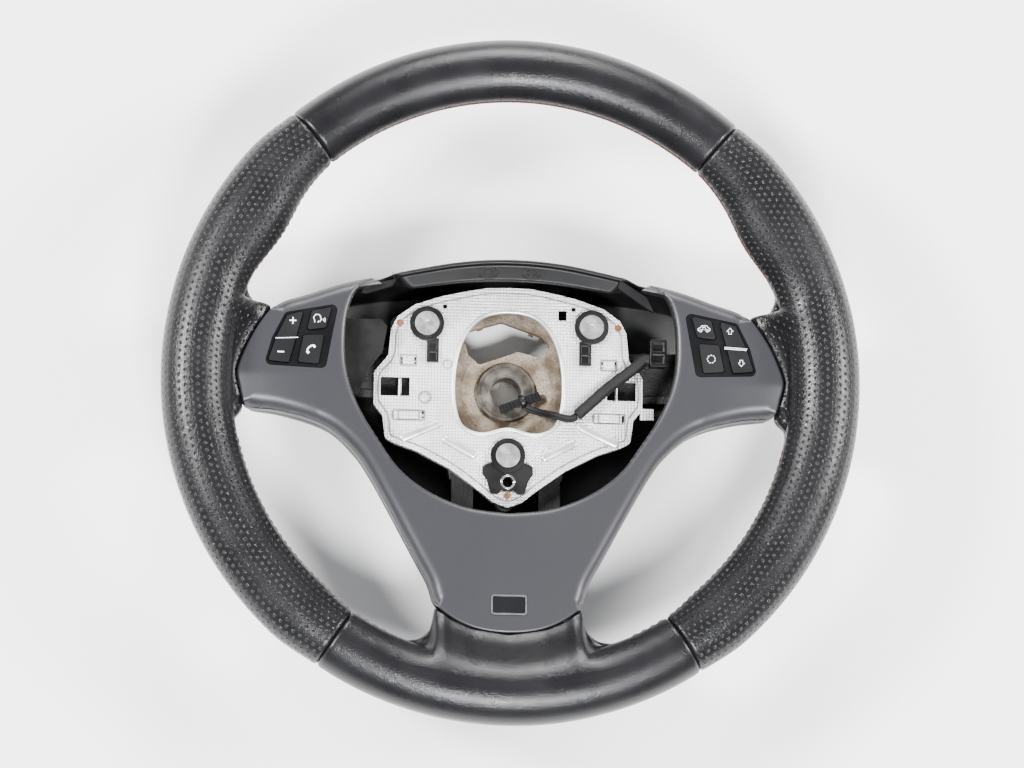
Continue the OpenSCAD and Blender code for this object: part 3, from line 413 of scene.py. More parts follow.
def gripSection(angles, turns, inset):
    phi = np.asarray(angles, float)[:, None]
    psi = np.asarray(turns, float)[None, :]
    side = np.sign(psi) + (psi == 0)
    outer, inner, high = (size - inset for size in gripSize(phi))
    turn = np.radians(psi)
    half = np.where(np.cos(turn) < 0, inner, outer)
    plain = polar(rim["radius"] + half * np.cos(turn), phi, rim["z"] + high * np.sin(turn))
    rootTurn = math.radians(rim["neckFrom"])
    root = polar(rim["radius"] + inner * math.cos(rootTurn), phi, 0.0)[..., :2]
    ex, ey = neckEdge(phi)
    flip = np.where(np.cos(np.radians(phi)) < 0, -1.0, 1.0)
    edge = np.stack([ex * flip, ey], -1)
    equator = polar(rim["radius"] - inner - inset, phi, 0.0)[..., :2]
    weight = neckWeight(phi)
    edge = equator + (edge - equator) / np.maximum(weight, 0.5)[..., None]
    toRoot = root - edge
    length = np.linalg.norm(toRoot, axis=-1, keepdims=True)
    direction = toRoot / length
    edge = edge + direction * inset
    soft = np.interp(foldAngle(phi), rim["roundAt"], rim["round"])
    middle = trimTop(ex, ey) - rim["neckDrop"] - rim["neckThick"] / 2
    halfThick = rim["neckThick"] / 2 - inset
    run = length[..., 0] - inset - soft
    rise = high * math.sin(rootTurn)
    share = np.clip((np.abs(psi) - rim["neckFrom"]) / (180 - rim["neckFrom"]), 0, 1)
    k = np.clip(share / rim["neckTurn"], 0, 1)
    q = np.clip((share - rim["neckTurn"]) / (1 - rim["neckTurn"]), 0, 1)
    slope = high * math.cos(rootTurn) / (inner * math.sin(rootTurn))
    reach0, reach1 = (pull * run for pull in rim["neckPull"])
    z0, z3 = rim["z"] + side * rise, middle + side * halfThick
    z1 = z0 + side * slope * reach0
    z2 = z3 + side * rim["neckLean"] * reach1
    b0, b1, b2, b3 = (1 - k) ** 3, 3 * k * (1 - k) ** 2, 3 * k * k * (1 - k), k ** 3
    along = b0 * run + b1 * (run - reach0) + b2 * reach1
    z = b0 * z0 + b1 * z1 + b2 * z2 + b3 * z3
    bend = 0.5 * math.pi * q
    along = along + soft * (1 - np.sin(bend))
    z = np.where(q > 0, middle + side * halfThick * np.cos(bend), z)
    neck = np.concatenate([edge + direction * along[..., None], z[..., None]], -1)
    weight = weight[..., None] * (share[..., None] > 0)
    section = plain * (1 - weight) + neck * weight
    return mix(section, outsideGrip(section, inner, high, weight[..., 0]), weight > 0)


# Points that fall inside the grip's own oval are pushed out to it
def outsideGrip(points, wide, high, weight):
    reach = np.hypot(points[..., 0], points[..., 1])
    away, up = (reach - rim["radius"]) / wide, (points[..., 2] - rim["z"]) / high
    size = np.maximum(np.hypot(away, up), 0.2)
    grown = 0.5 * (size + 1 + np.sqrt((size - 1) ** 2 + (rim["unionSoft"] * weight) ** 2)) / size
    r = rim["radius"] + (reach - rim["radius"]) * grown
    plan = points[..., :2] * (r / reach)[..., None]
    return np.concatenate([plan, (rim["z"] + up * high * grown)[..., None]], -1)


leather = {
    "step": 0.36,           # degrees between rings
    "faces": (22, 36),      # points on a section's outer and inner quarter
    "slit": 179.2,
    "grooveDepth": 0.8, "grooveWidth": 1.3,
    "rollDepth": 1.2, "rollWidth": 2.4,
    "waver": 0.09, "waverScale": 26.0,
    "pucker": 0.05, "puckerReach": 4.5, "endFade": 4.0,
    "stitchPitch": 4.3, "stitchHalf": 2.1, "stitchThick": 0.34, "stitchLift": -0.53, "stitchArch": 0.55,
    "stitchFill": 0.76,     # share of the pitch that a stitch takes
    "seams": ((21.5, 48.9), (49.9, 130.1), (131.1, 158.5), (193.5, 236.3), (237.3, 245.0), (295.0, 302.7),
              (303.7, 346.5)),
    "seamGap": 0.15,
    "foamGap": 0.8, "foamStep": 0.75, "foamFaces": 44,
}


def valueNoise(points, scale):
    p = np.asarray(points) / scale
    return (np.sin(1.7 * p[..., 0] + 0.9 * p[..., 1] + 1.3 * p[..., 2])
            + np.sin(-1.1 * p[..., 0] + 2.1 * p[..., 1] + 0.7 * p[..., 2] + 1.9)
            + np.sin(2.9 * p[..., 0] - 1.6 * p[..., 1] + 2.2 * p[..., 2] + 4.1)) / 3


def normalsOf(rings):
    along = np.gradient(rings, axis=0)
    around = np.gradient(rings, axis=1)
    n = np.cross(around, along)
    return n / np.maximum(np.linalg.norm(n, axis=-1, keepdims=True), 1e-9)


def leatherPanel(name, start, stop, node):
    p = leather
    count = int((stop - start) / p["step"])
    gapAngle = math.degrees(p["seamGap"] / rim["radius"])
    phi = np.linspace(start + gapAngle, stop - gapAngle, count)
    half = np.concatenate([np.linspace(0, rim["neckFrom"], p["faces"][0], endpoint=False),
                           np.linspace(rim["neckFrom"], p["slit"], p["faces"][1])])
    psi = np.concatenate([-half[:0:-1], half])
    outer = gripSection(phi, psi, 0.0)
    inner = gripSection(phi, psi, rim["leather"])
    out = normalsOf(outer)
    out = out if (out * (outer - inner)).sum(-1).mean() > 0 else -out
    step = np.linalg.norm(np.diff(outer, axis=1), axis=-1)
    length = np.concatenate([np.zeros((count, 1)), np.cumsum(step, axis=1)], 1)
    middle = len(psi) // 2
    fromSlit = np.minimum(length, length[:, -1:] - length)
    around = length - length[:, middle:middle + 1]
    along = np.radians(phi)[:, None] * rim["radius"] + 0 * around
    end = np.minimum(along - along[0], along[-1] - along)
    roll = np.clip(1 - end / p["rollWidth"], 0, 1)
    sink = p["rollDepth"] * (1 - np.sqrt(1 - roll ** 2))
    sink += p["grooveDepth"] * np.exp(-(fromSlit / p["grooveWidth"]) ** 2)
    fade = np.clip(end / p["endFade"], 0, 1)
    sink += p["waver"] * valueNoise(outer, p["waverScale"]) * fade
    pull = np.exp(-fromSlit / p["puckerReach"]) * fade
    sink += p["pucker"] * pull * np.cos(2 * math.pi * along / p["stitchPitch"])
    outer = outer - out * sink[..., None]
    rings = np.concatenate([outer, inner[:, ::-1]], 1)
    m = len(psi)
    uv = np.stack([np.concatenate([flat, flat[:, ::-1]], 1) for flat in (along, around)], -1) * mm
    faces = skinFaces(count, 2 * m, False)
    for j in range(m - 1):
        faces.append([j, 2 * m - 1 - j, 2 * m - 2 - j, j + 1])
        base = (count - 1) * 2 * m
        faces.append([base + j, base + j + 1, base + 2 * m - 2 - j, base + 2 * m - 1 - j])
    piece = makeObject(name, rings.reshape(-1, 3), faces, uv.reshape(-1, 2))
    piece.data.set_sharp_from_angle(angle=math.radians(50))
    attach(piece, "wheel")
    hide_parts(node)


def stitchPaths(start, stop):
    p = leather
    length = math.radians(stop - start) * (rim["radius"] - rim["halfWidth"])
    count = int(length / p["stitchPitch"])
    edges = np.linspace(start, stop, count + 1)
    t = np.linspace(0, 1, 6)
    lift = p["stitchLift"] + p["stitchArch"] * np.sin(math.pi * t)
    paths = []
    for a, b in zip(edges[:-1], edges[1:]):
        phi = mix(a, b, 0.5 + p["stitchFill"] * (t - 0.5))
        _, inner, high = gripSize(phi)
        for sign in (-1, 1):
            psi = math.pi + sign * (2 * t - 1) * p["stitchHalf"] / (rim["halfHeight"] + 1)
            r = rim["radius"] + (inner + lift) * np.cos(psi)
            paths.append(polar(r, phi, rim["z"] + (high + lift) * np.sin(psi)))
    return paths


def buildLeather():
    low, top = -rim["seamLow"], rim["seamTop"]
    leatherPanel("leather_side_right", low, top, "leather_right")
    leatherPanel("leather_side_left", 180 - top, 180 - low, "leather_left")
    leatherPanel("leather_crown", top, 180 - top, "leather_top")
    leatherPanel("leather_base", 180 - low, 360 + low, "leather_bottom")
    paths = [path for seam in leather["seams"] for path in stitchPaths(*seam)]
    points, faces = tubeMesh(paths, leather["stitchThick"], 5)
    thread = makeObject("seam_thread", points, faces)
    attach(thread, "wheel")


# Foam just under the leather, all the way round
def buildFoam():
    phi = np.arange(0, 360, leather["foamStep"])
    half = np.linspace(0, leather["slit"], leather["foamFaces"])
    psi = np.concatenate([-half[:0:-1], half])
    piece = skin("foam_core", gripSection(phi, psi, rim["leather"] + leather["foamGap"]))
    fixNormals(piece)
    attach(piece, "wheel")
    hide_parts("rim_foam")


buildLeather()
buildFoam()
print("leather done")


# Spoke trim

badge = {
    "y": -122.5, "width": 19.4, "height": 11.0, "corner": 1.6, "rise": 0.5,
    "play": 0.15, "cut": (-0.8, 6), "band": 0.9, "innerCorner": 0.9,
}

pods = {
    "place": (113.0, 21.0),
    "outline": [(21.5, -16), (-12, -16.8), (-18.5, 19.3), (10.5, 13.2), (17.4, -0.9)],
    "corner": 3.0,
    "cut": (-16, 12),
}


def roundedOutline(points, radius, steps=7):
    pts = np.asarray(points, float)
    area = 0.5 * np.sum(pts[:, 0] * np.roll(pts[:, 1], -1) - np.roll(pts[:, 0], -1) * pts[:, 1])
    if area < 0:
        pts = pts[::-1]
    out = []
    for i in range(len(pts)):
        p, a, b = pts[i], pts[i - 1], pts[(i + 1) % len(pts)]
        u, v = (a - p) / np.linalg.norm(a - p), (b - p) / np.linalg.norm(b - p)
        halfTurn = math.acos(np.clip(u @ v, -1, 1)) / 2
        centre = p + (u + v) / np.linalg.norm(u + v) * radius / math.sin(halfTurn)
        start, stop = (p + way * radius / math.tan(halfTurn) - centre for way in (u, v))
        a0, a1 = math.atan2(start[1], start[0]), math.atan2(stop[1], stop[0])
        turn = (a1 - a0 + math.pi) % (2 * math.pi) - math.pi
        for k in range(steps):
            t = a0 + turn * k / (steps - 1)
            out.append(centre + radius * np.array([math.cos(t), math.sin(t)]))
    return np.array(out)


def podFrame(side):
    x, y = pods["place"]
    z = trim["height"] + trim["slope"] * (x - trim["heightAt"])
    place = Matrix.Translation((x, y, z)) @ Matrix.Rotation(-math.atan(trim["slope"]), 4, "Y")
    return (Matrix.Scale(-1, 4, (1, 0, 0)) if side < 0 else Matrix.Identity(4)) @ place


def badgeFrame():
    z = float(trimTop(0.0, badge["y"]))
    return Matrix.Translation((0, badge["y"], z)) @ Matrix.Rotation(-math.atan(trim["slope"]), 4, "X")


def prism(outline, low, high):
    n = len(outline)
    points = [(x, y, low) for x, y in outline] + [(x, y, high) for x, y in outline]
    faces = [list(range(n))[::-1], list(range(n, 2 * n))]
    faces += [[j, (j + 1) % n, n + (j + 1) % n, n + j] for j in range(n)]
    return points, faces


def cutHole(piece, outline, heights, place):
    points, faces = prism(outline, *heights)
    cutter = makeObject("cutter", placed(points, place), faces)
    fixNormals(cutter)
    step = piece.modifiers.new("cut", "BOOLEAN")
    step.operation = "DIFFERENCE"
    step.solver = "EXACT"
    step.object = cutter
    graph = bpy.context.evaluated_depsgraph_get()
    mesh = bpy.data.meshes.new_from_object(piece.evaluated_get(graph))
    piece.modifiers.clear()
    piece.data = mesh
    bpy.data.objects.remove(cutter)


def trimSection(points):
    t = trim
    phi = np.degrees(np.arctan2(points[:, 1], points[:, 0]))[:, None]
    ro = np.hypot(points[:, 0], points[:, 1])[:, None]
    ri = np.minimum(reachOf(wellLine, phi), ro - 2 * t["wall"] - 1.5)
    share = 1 - (1 - np.linspace(0, 1, t["rows"])) ** t["rowBias"]
    share = np.sort(np.concatenate([t["lipRows"], share[1:]]))[None, :]
    r = ri + (ro - ri) * share
    a = np.radians(phi)
    x, y = r * np.cos(a), r * np.sin(a)
    gap, near = distanceTo(spokeLine, x, y)
    gapWell, _ = distanceTo(wellLine, x, y)
    angleNear = np.degrees(np.arctan2(spokeLine[near, 1], spokeLine[near, 0]))
    soft = mix(t["edge"], t["shoulder"], hasWall(angleNear))
    outerDrop, lipDrop = (size * (1 - np.sqrt(1 - np.clip(1 - away / size, 0, 1) ** 2))
                          for size, away in ((soft, gap), (t["lipRound"], gapWell)))
    z = trimTop(x, y) - outerDrop - lipDrop
    outerTop = trimTop(ro * np.cos(a), ro * np.sin(a))
    foot = outerTop - mix(t["endSkirt"], t["skirt"], hasWall(phi))
    lipFoot = trimTop(ri * np.cos(a), ri * np.sin(a)) - t["lip"]
    wall = t["wall"]

    def at(radius, height):
        return np.stack([radius * np.cos(a), radius * np.sin(a), height], -1)

    rows = [at(ri, lipFoot), at(ri, mix(lipFoot, z[:, :1], 0.6))]
    surface = np.stack([x, y, z], -1)
    edgeRows = [at(ro, mix(z[:, -1:], foot, f)) for f in (0.35, 1.0)]
    under = []
    for f in (0.0, 0.2, 0.45, 0.7, 0.9, 1.0):
        radius = mix(ro - wall, ri + wall, f)
        index = np.clip((radius - ri) / (ro - ri), 0, 1)
        height = np.array([np.interp(i, share[0], row) for i, row in zip(index[:, 0], z)])[:, None]
        under.append(at(radius, np.minimum(height - wall - 0.6, outerTop + 5)))
    inside = [at(ro - wall, foot)] + under + [at(ri + wall, lipFoot)]
    return np.concatenate(rows + [surface] + edgeRows + inside, 1)


def buildTrim():
    start = int(np.argmax(spokeLine[:, 1]))
    around = np.roll(spokeLine, -start, axis=0)
    keep = around[:, 1] / np.hypot(around[:, 0], around[:, 1]) <= math.sin(math.radians(trim["hornAngle"]))
    piece = skin("spoke_cover", trimSection(around[keep]), closed=False)
    for side in (-1, 1):
        cutHole(piece, roundedOutline(pods["outline"], pods["corner"]), pods["cut"], podFrame(side))
    corners = cornersOf(*(badge[size] / 2 + badge["play"] for size in ("width", "height")))
    cutHole(piece, roundedOutline(corners, badge["corner"] + badge["play"]), badge["cut"], badgeFrame())
    piece.data.set_sharp_from_angle(angle=math.radians(38))
    piece.data.polygons.foreach_set("use_smooth", [True] * len(piece.data.polygons))
    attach(piece, "wheel")
    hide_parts("spoke_trim")


buildTrim()
print("trim done")


# Rear cover, a shell whose upper wall carries a stepped lip

cover = {
    "wall": 2.5, "wellRadius": 46.0, "wellEdge": 8.2, "topZ": 57.0, "shelf": 8.5, "parting": 0.3,
    "crownFrom": 38.0, "crownBlend": 6.0, "step": 0.9, "corner": 1.3,
    "floor": (9.0, 0.0042, 50.0),    # lowest height, how it curves up, and from which radius
}


def coverFloor(r):
    base, curve, start = cover["floor"]
    return base + curve * np.maximum(0, r - start) ** 2


def softCorners(rings, reach, cuts=3):
    ahead, back = np.roll(rings, -1, 1), np.roll(rings, 1, 1)
    toNext = np.linalg.norm(ahead - rings, axis=-1, keepdims=True)
    toLast = np.linalg.norm(back - rings, axis=-1, keepdims=True)
    size = np.minimum(reach, 0.42 * np.minimum(toNext, toLast))
    start = rings + (back - rings) / toLast * size
    stop = rings + (ahead - rings) / toNext * size
    out = []
    for k in range(cuts + 1):
        t = k / cuts
        out.append((1 - t) ** 2 * start + 2 * t * (1 - t) * rings + t ** 2 * stop)
    return np.stack(out, 2).reshape(len(rings), -1, 3)


def buildCover():
    p = cover
    phi = np.arange(-90, 270, p["step"])[:, None]
    ro = reachOf(spokeLine, phi)
    crown = ease((foldAngle(phi) - p["crownFrom"]) / p["crownBlend"])
    spot = polar(ro, phi, 0.0)
    trimEdge = trimTop(spot[..., 0], spot[..., 1])
    foot = trimEdge - mix(trim["endSkirt"], trim["skirt"], hasWall(phi)) - p["parting"]
    atNeck = trimEdge - rim["neckDrop"] - rim["neckThick"] + 2
    top = mix(mix(atNeck, foot, hasWall(phi)), p["topZ"], crown)
    base = np.minimum(coverFloor(ro - 9), top - 7)
    h, c, k = top - base, p["wall"], crown * p["shelf"]
    d = np.minimum(12, 0.45 * h) / 12
    w, edge = p["wellRadius"], p["wellEdge"]
    mid = (w + ro) / 2
    zm = np.minimum(coverFloor(mid), base)
    rows = [(w, 0.5), (w + 3.5, 0.5), (w + 7, edge), (mid, zm), (ro - 9, base),
            (ro - 2.6, base + 0.3 * h), (ro, base + 0.72 * h), (ro, top), (ro - c, top),
            (ro - c, top - 3 * d), (ro - c - k, top - 3.6 * d), (ro - c - k, top - 9 * d),
            (ro - c - 0.2 * k, top - 12 * d), (ro - c - 2.6, base + 0.3 * h + 1),
            (ro - 9 - 0.4 * c, base + c), (mid, zm + c), (w + 7 - 0.7 * c, edge + c), (w + 3.5 - c, 3.2),
            (w, 3.2)]
    rings = np.concatenate([polar(r, phi, z) for r, z in rows], 1)
    piece = skin("rear_shell", softCorners(rings, p["corner"]))
    settle(piece, 40)
    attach(piece, "wheel")
    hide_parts("rear_cover")


buildCover()
print("rear cover done")


# Pressed outlines on the horn plate, coloured as painted shade; its rolled window edge and beads, coloured
# as painted highlight; and the small forms on the cover's upper ledge

def insideLine(line, by):
    along = np.roll(line, -1, 0) - np.roll(line, 1, 0)
    along /= np.linalg.norm(along, axis=1, keepdims=True)
    return line + by * np.stack([-along[:, 1], along[:, 0]], 1)


def flatPath(points, z):
    p = np.vstack([points, points[:1]])
    return np.column_stack([p, np.full(len(p), z)])


def ringPath(x, y, width, height, z):
    a = np.radians(np.arange(0, 361, 15))
    return np.column_stack([x + width / 2 * np.cos(a), y + height / 2 * np.sin(a), np.full(len(a), z)])


def boxPath(x, y, width, height, z):
    return flatPath(roundedOutline(cornersOf(width / 2, height / 2, x, y), 0.6, 4), z)


def dome(start, stop, width, height, z):
    start, stop = np.array(start, float), np.array(stop, float)
    run = np.linalg.norm(stop - start)
    ahead = (stop - start) / run
    side = np.array([-ahead[1], ahead[0]])
    turn = np.linspace(0, math.pi / 2, 6)
    along = np.concatenate([-width / 2 * np.cos(turn), run + width / 2 * np.sin(turn)])
    size = np.concatenate([np.sin(turn), np.cos(turn)]) * 0.98 + 0.02
    q = np.arange(16) * math.pi / 8
    plan = (start + along[:, None] * ahead)[:, None]
    plan = plan + (size[:, None] * np.cos(q) * width / 2)[..., None] * side
    return np.concatenate([plan, (z + size[:, None] * np.sin(q) * height)[..., None]], -1)


plate = {
    "z": 41.5,
    "outline": [(0, -67), (8, -64), (18, -56), (32, -46), (50, -36.8), (62.7, -32.5), (67.5, -30),
                (69, -17.5), (74, -11.4), (74, 6.6), (66.5, 16), (65, 31), (61.5, 38), (52.5, 44.5),
                (38, 49.5), (26, 52.3), (13, 54.8), (0, 55.3)],
    "window": [(0, -23.4), (5, -24.6), (15, -27), (25.5, -22.8), (29.8, -11), (29.8, 11), (24.5, 28.5),
               (14.7, 39), (0, 42)],
    "border": 3.2, "rollThick": 1.25, "rollDrop": 0.55,
    "boxes": [(-55.3, 13.6, 9.0, 5.6), (55.3, 13.2, 9.0, 5.6), (-54.6, -17.0, 17.4, 5.4),
              (55.7, -16.6, 17.4, 5.4), (-54.6, -17.0, 11.6, 5.2), (55.7, -16.6, 11.6, 5.2)],
    "rings": [(-46.0, -6.9, 6.6), (-33.8, 11.8, 4.6)],
    "beads": [((-57, -29.6), (-39, -21.6)), ((-34, -30.2), (-19, -38.2)), ((40, -21.8), (59, -30.6)),
              ((20.5, -39), (36, -31))],
    "beadWidth": 4.6, "beadHeight": 1.1, "lineThick": 0.42,
}


def buildPlateDetails():
    p, z = plate, plate["z"]
    border = insideLine(closedLine(p["outline"]), p["border"])
    traces = [flatPath(border, z)] + [boxPath(*box, z) for box in p["boxes"]]
    traces += [ringPath(x, y, size, size, z) for x, y, size in p["rings"]]
    # the outlines are coloured dark grey, painted shade along the pressed steps
    finishPlateForm("plate_shade_lines", *tubeMesh(traces, p["lineThick"], 6))
    points, faces = tubeMesh([flatPath(closedLine(p["window"]), z - p["rollDrop"])], p["rollThick"], 10)
    for start, stop in p["beads"]:
        rings = dome(start, stop, p["beadWidth"], p["beadHeight"], z)
        count, around = rings.shape[:2]
        faces += shifted(skinFaces(count, around, False) + endCaps(count, around), len(points))
        points = np.vstack([points, rings.reshape(-1, 3)])
    # the roll and beads are coloured brighter than the plate, a painted highlight
    finishPlateForm("plate_pressings", points, faces)


def finishPlateForm(name, points, faces):
    piece = makeObject(name, points, faces)
    settle(piece, 50)
    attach(piece, "horn_carrier")


ledge = {
    "ovals": [(-13.0, 61.3), (10.9, 61.5)], "ovalSize": (10.0, 6.5), "z": 53.5, "thick": 0.55,
    "noses": [[(-65.5, 60.1), (-64.2, 55.8), (-80.6, 51.6), (-82.4, 47.8), (-79.9, 47.3), (-65.4, 52),
               (-63.6, 55.2)],
              [(59.7, 58.5), (58.5, 54.1), (71.5, 45.1), (78.3, 40.9), (74.5, 49.0)]],
    "noseLow": 53.0, "noseHigh": 56.2,
}


def buildLedge():
    p = ledge
    w, h = p["ovalSize"]
    paths = [ringPath(x, y, w, h, p["z"]) for x, y in p["ovals"]]
    paths += [ringPath(x, y, 0.5 * w, 0.45 * h, p["z"]) for x, y in p["ovals"]]
    points, faces = tubeMesh(paths, p["thick"], 8)
    for outline in p["noses"]:
        nose, noseFaces = prism(outline, p["noseLow"], p["noseHigh"])
        faces += shifted(noseFaces, len(points))
        points = np.vstack([points, nose])
    piece = makeObject("ledge_forms", points, faces)
    settle(piece, 50)
    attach(piece, "wheel")


buildPlateDetails()
buildLedge()
print("small forms done")


# Signs on the keys, in each pod's own plan

signs = {
    "height": 0.94,         # over the pod's plane, just above the keys
    "thick": 0.05,
    "upperKey": (-7.8, 10.2), "lowerKey": (-3.8, -6.8), "rockerHigh": (6.4, 8.6), "rockerLow": (12.6, -8.8),
    "divider": [(3.4, -0.6), (15.6, -1.4)], "dividerWidth": 0.35, "dividerStep": (0.16, 0.8),
}


def ribbon(points, width, closed):
    if closed:
        tangent = np.roll(points, -1, 0) - np.roll(points, 1, 0)
    else:
        tangent = np.gradient(points, axis=0)
    tangent /= np.linalg.norm(tangent, axis=1, keepdims=True)
    side = np.stack([-tangent[:, 1], tangent[:, 0]], 1) * width / 2
    return points + side, points - side


def addStroke(parts, at, points, width, closed=False):
    left, right = ribbon(np.asarray(points, float) + at, width, closed)
    low, high = signs["height"], signs["height"] + signs["thick"]
    base, n = len(parts["points"]), len(left)
    for row, z in ((left, high), (right, high), (left, low), (right, low)):
        parts["points"].extend([(x, y, z) for x, y in row])
    for j in range(n if closed else n - 1):
        k = (j + 1) % n
        a, b, c, d = (base + j + m * n for m in range(4))
        a2, b2, c2, d2 = (base + k + m * n for m in range(4))
        parts["faces"] += [[b, b2, a2, a], [a, a2, c2, c], [d, d2, b2, b]]
    if not closed:
        parts["faces"] += [[base + m * n for m in (0, 2, 3, 1)],
                           [base + n - 1 + m * n for m in (1, 3, 2, 0)]]


def arc(middle, radius, start, stop, count):
    a = np.radians(np.linspace(start, stop, count))
    return np.stack([middle[0] + radius * np.cos(a), middle[1] + radius * np.sin(a)], 1)


def leaned(points, angle):
    c, s = math.cos(math.radians(angle)), math.sin(math.radians(angle))
    return np.array(points, float) @ [[c, s], [-s, c]]


arrow = [(0, 1.9), (1.7, 0), (0.75, 0), (0.75, -1.5), (-0.75, -1.5), (-0.75, 0), (-1.7, 0)]
handset = [(-2.6, 0.5), (-1.5, 1.25), (0, 1.5), (1.5, 1.25), (2.6, 0.5)]

strokes = {    # points round the sign's middle, line width, and whether the line closes
    "plus": [([(-1.8, 0), (1.8, 0)], 0.62), ([(0, 1.8), (0, 0.33)], 0.62), ([(0, -0.33), (0, -1.8)], 0.62)],
    "minus": [([(-1.8, 0), (1.8, 0)], 0.62)],
    "voice": [([(2.4, -2.2), (2.4, -0.9), (3.1, 0.6), (1.9, 2.2), (0, 2.2), (-0.8, 1.1), (-0.8, 0.4),
                (-1.5, -0.5), (-0.8, -0.7), (-0.6, -1.6), (0.5, -1.5), (0.5, -2.2)], 0.42),
              (arc((-1.5, -0.6), 1.0, 142, 218, 9), 0.34), (arc((-1.5, -0.6), 1.9, 142, 218, 9), 0.34)],
    "phone": [(throughPoints(leaned(handset, -45), 0.3), 0.75)]
             + [(leaned([(x, 0.75), (x, -0.75)], -45), 1.3) for x in (-2.35, 2.35)],
    "recirculation": [([(-3.2, -1.3), (-3.2, -0.1), (-2.1, 0.3), (-1.2, 1.5), (1.4, 1.5), (2.4, 0.3),
                        (3.2, -0.1), (3.2, -1.3), (2.6, -1.3)], 0.34), ([(-3.2, -1.3), (-2.6, -1.3)], 0.34),
                      (arc((-1.8, -1.3), 0.6, 0, 345, 14), 0.3), (arc((1.8, -1.3), 0.6, 0, 345, 14), 0.3),
                      (arc((0, -0.1), 0.85, -60, 200, 14), 0.3),
                      ([(-0.75, -0.95), (-0.82, -0.35), (-0.2, -0.55)], 0.3)],
    "dashes": [(arc((0, 0), 2.1, 40 * k, 40 * k + 24, 5), 0.4) for k in range(9)],
    "up": [(arrow, 0.34, True)],
    "down": [([(x, -y) for x, y in arrow], 0.34, True)],
}


def buildSign(name, body, side, drawings, dividers=0):
    parts = {"points": [], "faces": []}
    for sign, place in drawings:
        for stroke in strokes[sign]:
            addStroke(parts, signs[place], *stroke)
    for k in range(dividers):
        shift = np.array(signs["dividerStep"]) * (k - (dividers - 1) / 2)
        addStroke(parts, shift, signs["divider"], signs["dividerWidth"])
    piece = makeObject(name, placed(parts["points"], podFrame(side)), parts["faces"], smooth=False)
    fixNormals(piece)
    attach(piece, body)


for row in (("volume_signs", "left_rocker_key", -1, (("plus", "rockerHigh"), ("minus", "rockerLow")), 1),
            ("voice_sign", "voice_key", -1, (("voice", "upperKey"),)),
            ("phone_sign", "phone_key", -1, (("phone", "lowerKey"),)),
            ("recirculation_sign", "recirculation_key", 1, (("recirculation", "upperKey"),)),
            ("dashed_circle_sign", "custom_key", 1, (("dashes", "lowerKey"),)),
            ("arrow_signs", "right_rocker_key", 1, (("up", "rockerHigh"), ("down", "rockerLow")), 2)):
    buildSign(*row)


def buildBadgeBorder():
    b = badge
    w, h, band = b["width"] / 2, b["height"] / 2, b["band"]
    outer = roundedOutline(cornersOf(w, h), b["corner"])
    inner = roundedOutline(cornersOf(w - band, h - band), b["innerCorner"])
    low, high = b["rise"] - 0.35, b["rise"] + 0.06
    rings = [np.column_stack([o, np.full(len(o), z)]) for o, z in
             ((outer, low), (outer, high - 0.1), (outer * 0.992, high), (inner * 1.01, high),
              (inner, high - 0.1), (inner, low))]
    piece = skin("badge_border", placed(rings, badgeFrame()).transpose(1, 0, 2))
    settle(piece, 35)
    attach(piece, "wheel")


buildBadgeBorder()
print("signs and badge border done")


# Finishes. Colours are linear, sizes are metres.

class Finish:
    def __init__(self, name):
        self.made = bpy.data.materials.new(name)
        self.made.use_nodes = True
        self.tree = self.made.node_tree
        self.shader = self.tree.nodes["Principled BSDF"]
        self.where = self.add("ShaderNodeTexCoord").outputs["Object"]

    def put(self, value, socket):
        if isinstance(value, bpy.types.NodeSocket):
            self.tree.links.new(value, socket)
        else:
            socket.default_value = value

    def add(self, kind, settings=None, **inputs):
        node = self.tree.nodes.new(kind)
        for key, value in (settings or {}).items():
            setattr(node, key, value)
        for key, value in inputs.items():
            self.put(value, node.inputs[int(key[1:]) if key[1:].isdigit() else key])
        return node

    def calc(self, operation, a, b=0.0):
        return self.add("ShaderNodeMath", {"operation": operation}, i0=a, i1=b).outputs[0]

    def span(self, a, b):
        return self.calc("SQRT", self.calc("ADD", self.calc("MULTIPLY", a, a), self.calc("MULTIPLY", b, b)))

    def noise(self, scale, detail):
        return self.add("ShaderNodeTexNoise", Vector=self.where, Scale=scale, Detail=detail).outputs["Fac"]

    def remap(self, value, low, high, toLow=0, toHigh=1):
        return self.add("ShaderNodeMapRange", Value=value,
                        **{"From Min": low, "From Max": high, "To Min": toLow, "To Max": toHigh}).outputs[0]

    def blend(self, share, a, b):
        a, b = (c if isinstance(c, bpy.types.NodeSocket) else (*c, 1.0) for c in (a, b))
        return self.add("ShaderNodeMix", {"data_type": "RGBA"}, i0=share, i6=a, i7=b).outputs[2]

    def bump(self, height, strength, distance, normal=None):
        node = self.add("ShaderNodeBump", Height=height, Strength=strength, Distance=distance)
        if normal:
            self.put(normal, node.inputs["Normal"])
        return node.outputs["Normal"]

    def done(self, colour, rough, normal=None, metal=0.0, specular=0.5, coat=0.0):
        values = {"Base Color": colour, "Roughness": rough, "Metallic": metal,
                  "Specular IOR Level": specular, "Coat Weight": coat}
        if normal:
            values["Normal"] = normal
        for key, value in values.items():
            self.put(value, self.shader.inputs[key])
        return self.made


def plainFinish(name, colour, second, rough, metal=0.0, mottle=60.0, grain=2600.0, bump=0.12, depth=0.00012,
                coat=0.0, roughSpread=0.08, specular=0.5):
    f = Finish(name)
    cloud = f.noise(mottle, 4)
    return f.done(f.blend(f.remap(cloud, 0.35, 0.65), colour, second),
                  f.remap(cloud, 0.3, 0.7, rough - roughSpread, rough + roughSpread),
                  f.bump(f.noise(grain, 2), bump, depth), metal, specular, coat)


